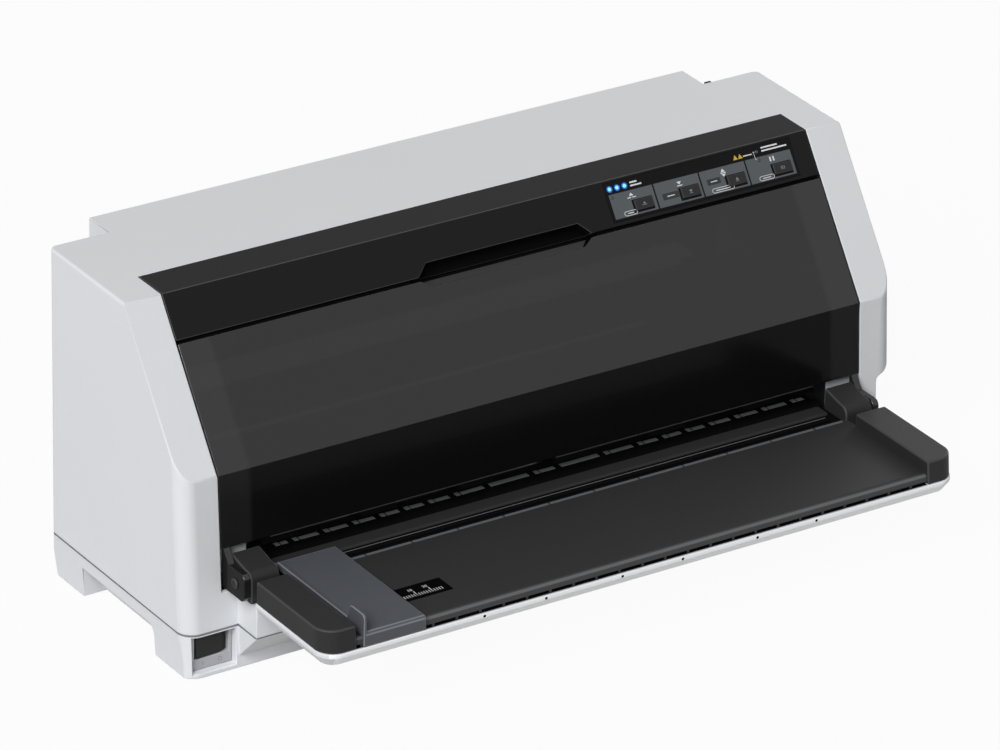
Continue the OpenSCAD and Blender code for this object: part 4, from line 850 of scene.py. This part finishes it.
class PRINTER_OT_tray(Operator):
    """Finish the tray and print its scale"""

    bl_idname = "printer.tray"
    bl_label = "Tray"

    corner: FloatProperty(
        name="Front corners", description="Radius of the tray's front corners", unit="LENGTH",
        default=12 * MM)
    tick_step: FloatProperty(name="Tick step", description="Distance between scale ticks in mm", default=1.62)
    tick_count: IntProperty(name="Ticks", description="Number of short ticks", default=16)

    def execute(self, context):
        base, base_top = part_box("tray_base")
        # the level from which the base's front corners draw in towards the foot
        rim = base_top.z - 2.5 * MM

        def hole(centre, normal):
            """True for the small holes in the front edge, which are painted dark as shade."""
            return (abs(centre.z - base.z - 6.6 * MM) < 1.5 * MM and 0.2 * MM < centre.y - base.y < 4.5 * MM
                    and abs(centre.x) < 120 * MM)

        def front(centre, normal):
            """True for the faces of the front edge, which are painted paler as a highlight."""
            return normal.y < -0.7 and centre.y < base.y + 3 * MM

        finished("tray_base", "tray_under", "pale abs", 0.6 * MM,
                 inner=[("lip abs", front), ("inner abs", hole)],
                 shape_up=round_corners(
                     base_top.x, base.y, self.corner, base.z, rim, lambda a: 4 * MM, lambda a: 0))
        # the slots between the table's lip and the base, printed dark as painted shade, the webs between
        # them, and before them a grey strip of painted shade on the base under the lip
        place = Matrix.Translation((0, base.y, base_top.z))
        prisms("lip_slots", [bar(-191, 1.3, 191, 6.0)], 0, PRINT_H, place, "matt black abs", "tray_table")
        prisms("lip_shade", [bar(-191, 0.62, 191, 1.3)], 0, PRINT_H, place, "switch abs", "tray_base")
        row("lip_webs", 25, (-187.2, 2.2, 0.8), (15.3, 0, 0), (1.6, 0.3, 1.6), "charcoal abs edge",
            "tray_table", place)
        table, table_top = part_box("tray_table")
        scale, scale_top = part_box("tray_scale")
        reach = -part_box("edge_guide")[0].x + 5 * MM

        def lip(centre, normal):
            """True for the faces of the table's rounded lip."""
            return normal.y < -0.4 and centre.y < table.y + 6 * MM and abs(centre.x) < reach

        def crest(centre, normal):
            """True for the crest of the lip, which takes the painted highlight."""
            return lip(centre, normal) and scale_top.z - 2.2 * MM < centre.z < scale_top.z - 0.8 * MM

        # the table's rounded edges and its lip's front faces take the paler finish as painted highlight and
        # sheen, and the lip's crest a brighter painted highlight
        finished("tray_table", "tray_top", "charcoal abs", looks().tray_edge, 3,
                 inner=[("charcoal abs edge", lip), ("lip grey abs", crest)],
                 rub=("charcoal abs edge", "tray_scale"),
                 shape_up=round_corners(
                     table_top.x, table.y, self.corner, table.z, table_top.z, lambda a: 0,
                     lambda a: 2 * MM * math.sin(a)))
        self.scale(scale, scale_top)
        # paler strips along the rear edge of the table, a painted highlight of that edge: a row of equal
        # ones, and a shorter one at the right
        level, behind, deep, thick = scale_top.z / MM, table_top.y / MM - 1.7, 2.2, 0.14
        row("table_strips", 11, (-151.0, behind, level), (30.4, 0, 0), (29.3, deep, thick), "mid grey abs",
            "tray_table")
        row("table_strip_end", 1, (178.4, behind, level), (1, 0, 0), (19.0, deep, thick), "mid grey abs",
            "tray_table")
        return {"FINISHED"}

    def scale(self, low, high):
        """The label of the scale, which is a little larger than its CAD plate, with its ticks and numbers."""
        place = Matrix.Translation((low.x, low.y, high.z))
        label = bar(-1, -1, (high.x - low.x) / MM + 1, (high.y - low.y) / MM + 1)
        prisms("scale_label", [label], -0.3, 0.02, place, "label film", "tray_scale", stands=True)
        start = 0.6
        row("scale_ticks", self.tick_count, (start, 3.6, 0.03), (self.tick_step, 0, 0), (0.42, 2.8, 0.04),
            "white ink", "tray_scale", place)
        tens = [start + (5 + 6 * k) * self.tick_step for k in (0, 1)]
        row("scale_long_ticks", 2, (tens[0], 4.9, 0.025), (tens[1] - tens[0], 0, 0), (0.6, 5.4, 0.05),
            "white ink", "tray_scale", place)
        for x, text in zip(tens, ("10", "20")):
            self.number("scale_" + text, text, 3.3 * MM, (x - 1.2) * MM, 8.6 * MM, place)

    def number(self, name, text, height, x, y, place):
        """A plain number as a thin mesh, centred at a point of the plane."""
        curve = bpy.data.curves.new(name, "FONT")
        curve.body, curve.size, curve.align_x, curve.extrude = text, height, "CENTER", 0.02 * MM
        curve.resolution_u = 3
        curve.materials.append(finish_of("white ink"))
        shown = link(name + "_outline", curve)
        mesh = evaluated(shown)
        mesh.transform(place @ Matrix.Translation((x, y, 0.02 * MM)))
        bpy.data.objects.remove(shown)
        settle(link(name, mesh), "tray_scale")


class PRINTER_OT_edge_guide(Operator):
    """Finish the sliding edge guide"""

    bl_idname = "printer.edge_guide"
    bl_label = "Edge guide"

    def execute(self, context):
        # the guide's rounded edges take the paler finish as a painted highlight
        finished("edge_guide", "guide", "slate abs", 0.5 * MM, 3, rub=("slate abs edge",))
        return {"FINISHED"}


class PRINTER_OT_paper_guides(Operator):
    """Finish the guide plate, the bar before it and the pads on its comb"""

    bl_idname = "printer.paper_guides"
    bl_label = "Paper guides"

    gap: FloatProperty(name="Gap", description="Distance between the comb's pads in mm", default=4.2)

    # widths of the comb's pads from the middle outwards, in millimetres, and the place of the middle one
    widths = (13.5, 26.0, 19.0, 13.0, 12.0, 12.0, 13.5, 15.0, 16.0, 8.0)
    middle = 6.0

    def execute(self, context):
        finished("front_paper_guide", "guide_plate", "matt black abs", 0.25 * MM)
        # a paler line on the guide plate, just before the bar: a painted highlight of the bar's front edge
        bar_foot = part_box("guide_bar")[0]
        place = Matrix.Translation((0, bar_foot.y, bar_foot.z))
        painted_line = bar(-184, -2.2, 184, -1.4)
        prisms("guide_rule", [painted_line], 0, PRINT_H, place, "mid grey abs", "front_paper_guide")
        finished("guide_bar", "guide_rail", "charcoal abs", 0.3 * MM)
        finished("rear_paper_guide", "guide_plate_rear", "matt black abs", 0.25 * MM)
        pads, edge = [], 0.0
        for k, width in enumerate(self.widths):
            start = -width / 2 if k == 0 else edge + self.gap
            edge = start + width
            pads += self.pad(start, width)
            if k:
                pads += self.pad(-edge, width)
        # the pads are thin plates that stand half out of the comb
        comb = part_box("front_paper_guide")[1]
        place = Matrix.Translation((self.middle * MM, comb.y, comb.z - 0.1 * MM))
        prisms("comb_pads", pads, 0, 0.2, place, "grey abs", "front_paper_guide")
        return {"FINISHED"}

    def pad(self, start, width):
        """A pad of the comb: a nib and a block, or one long block."""
        rear, deep, nib, slit = -4.4, 3.7, 3.0, 0.8
        if width > 20:
            return [bar(start, rear - deep, start + width, rear)]
        return [bar(start, rear - deep, start + nib, rear),
                bar(start + nib + slit, rear - deep, start + width, rear - 0.5)]


class PRINTER_OT_power_switch(Operator):
    """Finish the power switch and print its two marks"""

    bl_idname = "printer.power_switch"
    bl_label = "Power switch"

    def execute(self, context):
        finished("switch_frame", "switch_surround", "switch abs", 0.25 * MM)
        finished("power_rocker", "switch_rocker", "charcoal abs", 0.4 * MM)
        low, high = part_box("switch_frame")
        foot = Matrix.Translation(((low.x + high.x) / 2, low.y, low.z))
        place = foot @ Matrix.Rotation(math.radians(90), 4, "X")
        marks = [bar(-5.6, 1.9, -5.3, 4.6), ring(5.6, 3.3, 1.35, 1.35, 1.34, 0.28)]
        prisms("switch_marks", marks, 0, PRINT_H, place, "soft grey ink", "switch_frame")
        return {"FINISHED"}


class PRINTER_OT_mechanism(Operator):
    """Give the pieces of the mechanism their finishes"""

    bl_idname = "printer.mechanism"
    bl_label = "Mechanism"

    finishes = {
        "black abs": ("release_lever", "ribbon_cartridge", "carriage_frame", "ribbon_guide",
                      "left_tractor_flap", "right_tractor_flap", "power_inlet"),
        "slate abs": ("ribbon_knob", "left_tractor", "right_tractor", "front_pressure_roller",
                      "rear_pressure_roller"),
        "rubber": ("platen", "carriage_belt", "front_feed_roller", "rear_feed_roller"),
        "zinc steel": ("base_plate", "left_side_frame", "right_side_frame", "carriage_rod", "front_rail",
                       "rear_beam", "tractor_shaft", "power_supply", "case_screws", "parallel_port",
                       "usb_port"),
        "enamelled steel": ("carriage_motor", "feed_motor"),
        "die-cast aluminium": ("print_head",),
        "acetal": ("drive_pulley", "idler_pulley", "idler_gear", "motor_pinion"),
        "circuit board": ("main_board", "panel_board"),
        "inked nylon": ("ribbon",),
    }

    def execute(self, context):
        for finish, nodes in self.finishes.items():
            for node in nodes:
                mesh = frame["nodes"][node].data
                mesh.materials.clear()
                mesh.materials.append(finish_of(finish))
        return {"FINISHED"}


class PRINTER_OT_stage(Operator):
    """Lay the floor and set the lights, the world and the camera"""

    bl_idname = "printer.stage"
    bl_label = "Stage"

    def execute(self, context):
        stage = context.scene.printer_stage
        self.floor(stage.floor_size)
        self.world()
        self.lamp("key_light", (-5.1, -3.47, 5.2), 4.8, stage.key_power)
        self.lamp("fill_light", (3.2, 2.2, 0.9), 2.0, stage.fill_power)
        self.camera(stage.lens)
        context.scene.view_settings.view_transform = "Standard"
        return {"FINISHED"}

    def floor(self, size):
        """A pale floor that keeps the shadow. The camera and reflections see it nearly white by itself."""
        half = size / 2
        mesh = bpy.data.meshes.new("floor")
        mesh.from_pydata(
            [(-half, -half, 0), (half, -half, 0), (half, half, 0), (-half, half, 0)], [], [(0, 1, 2, 3)])
        material, tree = new_material("pale floor")
        share = add(tree, "ShaderNodeMath", {"operation": "MULTIPLY", 1: 0.95}, {0: self.seen(tree)})
        matt = add(tree, "ShaderNodeBsdfDiffuse", {"Color": linear("#C8C8C8")})
        white = add(tree, "ShaderNodeEmission", {"Color": linear("#FFFFFF"), "Strength": 1.0})
        both = add(
            tree, "ShaderNodeMixShader",
            links={0: share.outputs["Value"], 1: matt.outputs["BSDF"], 2: white.outputs["Emission"]})
        add(tree, "ShaderNodeOutputMaterial", links={"Surface": both.outputs["Shader"]})
        mesh.materials.append(material)
        link("floor", mesh)

    def world(self):
        """Soft light from all round. The camera and reflections see white."""
        world = bpy.data.worlds.new("studio")
        bpy.context.scene.world = world
        world.use_nodes = True
        tree = world.node_tree
        tree.nodes.clear()
        strength = add(tree, "ShaderNodeMapRange", {"To Min": 0.1, "To Max": 1.0}, {"Value": self.seen(tree)})
        light = add(
            tree, "ShaderNodeBackground", {"Color": linear("#FFFFFF")},
            {"Strength": strength.outputs["Result"]})
        add(tree, "ShaderNodeOutputWorld", links={"Surface": light.outputs["Background"]})

    def seen(self, tree):
        """One for rays from the camera, a gloss or a clear sheet, and zero for those that gather light."""
        ray = add(tree, "ShaderNodeLightPath").outputs
        value = ray["Is Camera Ray"]
        for other in ("Is Glossy Ray", "Is Transmission Ray"):
            value = add(
                tree, "ShaderNodeMath", {"operation": "MAXIMUM"}, {0: value, 1: ray[other]}).outputs["Value"]
        return value

    def lamp(self, name, place, size, power):
        """A square soft light that faces the middle of the object."""
        data = bpy.data.lights.new(name, "AREA")
        data.shape, data.size, data.energy = "SQUARE", size, power
        lamp = link(name, data)
        aim = Vector((0, 0, 0.1))
        lamp.location = place
        lamp.rotation_euler = (aim - Vector(place)).to_track_quat("-Z", "Y").to_euler()

    def camera(self, lens):
        """The photograph's view: from the left front, above, with a long lens."""
        place = (-2.01528, -3.04399, 1.93278)
        azimuth, elevation, roll = math.radians(-33.341), math.radians(26.472), math.radians(1.295)
        back = Vector((
            math.sin(azimuth) * math.cos(elevation), -math.cos(azimuth) * math.cos(elevation),
            math.sin(elevation)))
        right = Vector((0, 0, 1)).cross(back).normalized()
        up = back.cross(right)
        c, s = math.cos(roll), math.sin(roll)
        right, up = c * right + s * up, -s * right + c * up
        data = bpy.data.cameras.new("camera")
        data.lens, data.sensor_width = lens, 36.0
        data.clip_start, data.clip_end = 0.1, 100.0
        camera = link("camera", data)
        camera.matrix_world = Matrix.Translation(place) @ Matrix((right, up, back)).transposed().to_4x4()
        bpy.context.scene.camera = camera


OPERATORS = (
    PRINTER_OT_casing, PRINTER_OT_bezel, PRINTER_OT_key_panel, PRINTER_OT_cover, PRINTER_OT_shoulders,
    PRINTER_OT_tray, PRINTER_OT_edge_guide, PRINTER_OT_paper_guides, PRINTER_OT_power_switch,
    PRINTER_OT_mechanism, PRINTER_OT_stage,
)


class PRINTER_PT_sidebar(Panel):
    """Lists the steps that finish the printer."""

    bl_label = "Printer"
    bl_space_type = "VIEW_3D"
    bl_region_type = "UI"
    bl_category = "Printer"

    def draw(self, context):
        for kind in OPERATORS:
            self.layout.operator(kind.bl_idname)
        for group in (context.scene.printer_looks, context.scene.printer_stage):
            for name in group.__annotations__:
                self.layout.prop(group, name)


CLASSES = (PrinterLooks, PrinterStage) + OPERATORS + (PRINTER_PT_sidebar,)


def register():
    for kind in CLASSES:
        bpy.utils.register_class(kind)
    bpy.types.Scene.printer_looks = PointerProperty(type=PrinterLooks)
    bpy.types.Scene.printer_stage = PointerProperty(type=PrinterStage)


def unregister():
    del bpy.types.Scene.printer_stage
    del bpy.types.Scene.printer_looks
    for kind in reversed(CLASSES):
        bpy.utils.unregister_class(kind)


def main():
    register()
    for kind in OPERATORS:
        group, name = kind.bl_idname.split(".")
        getattr(getattr(bpy.ops, group), name)()


if __name__ == "__main__":
    main()
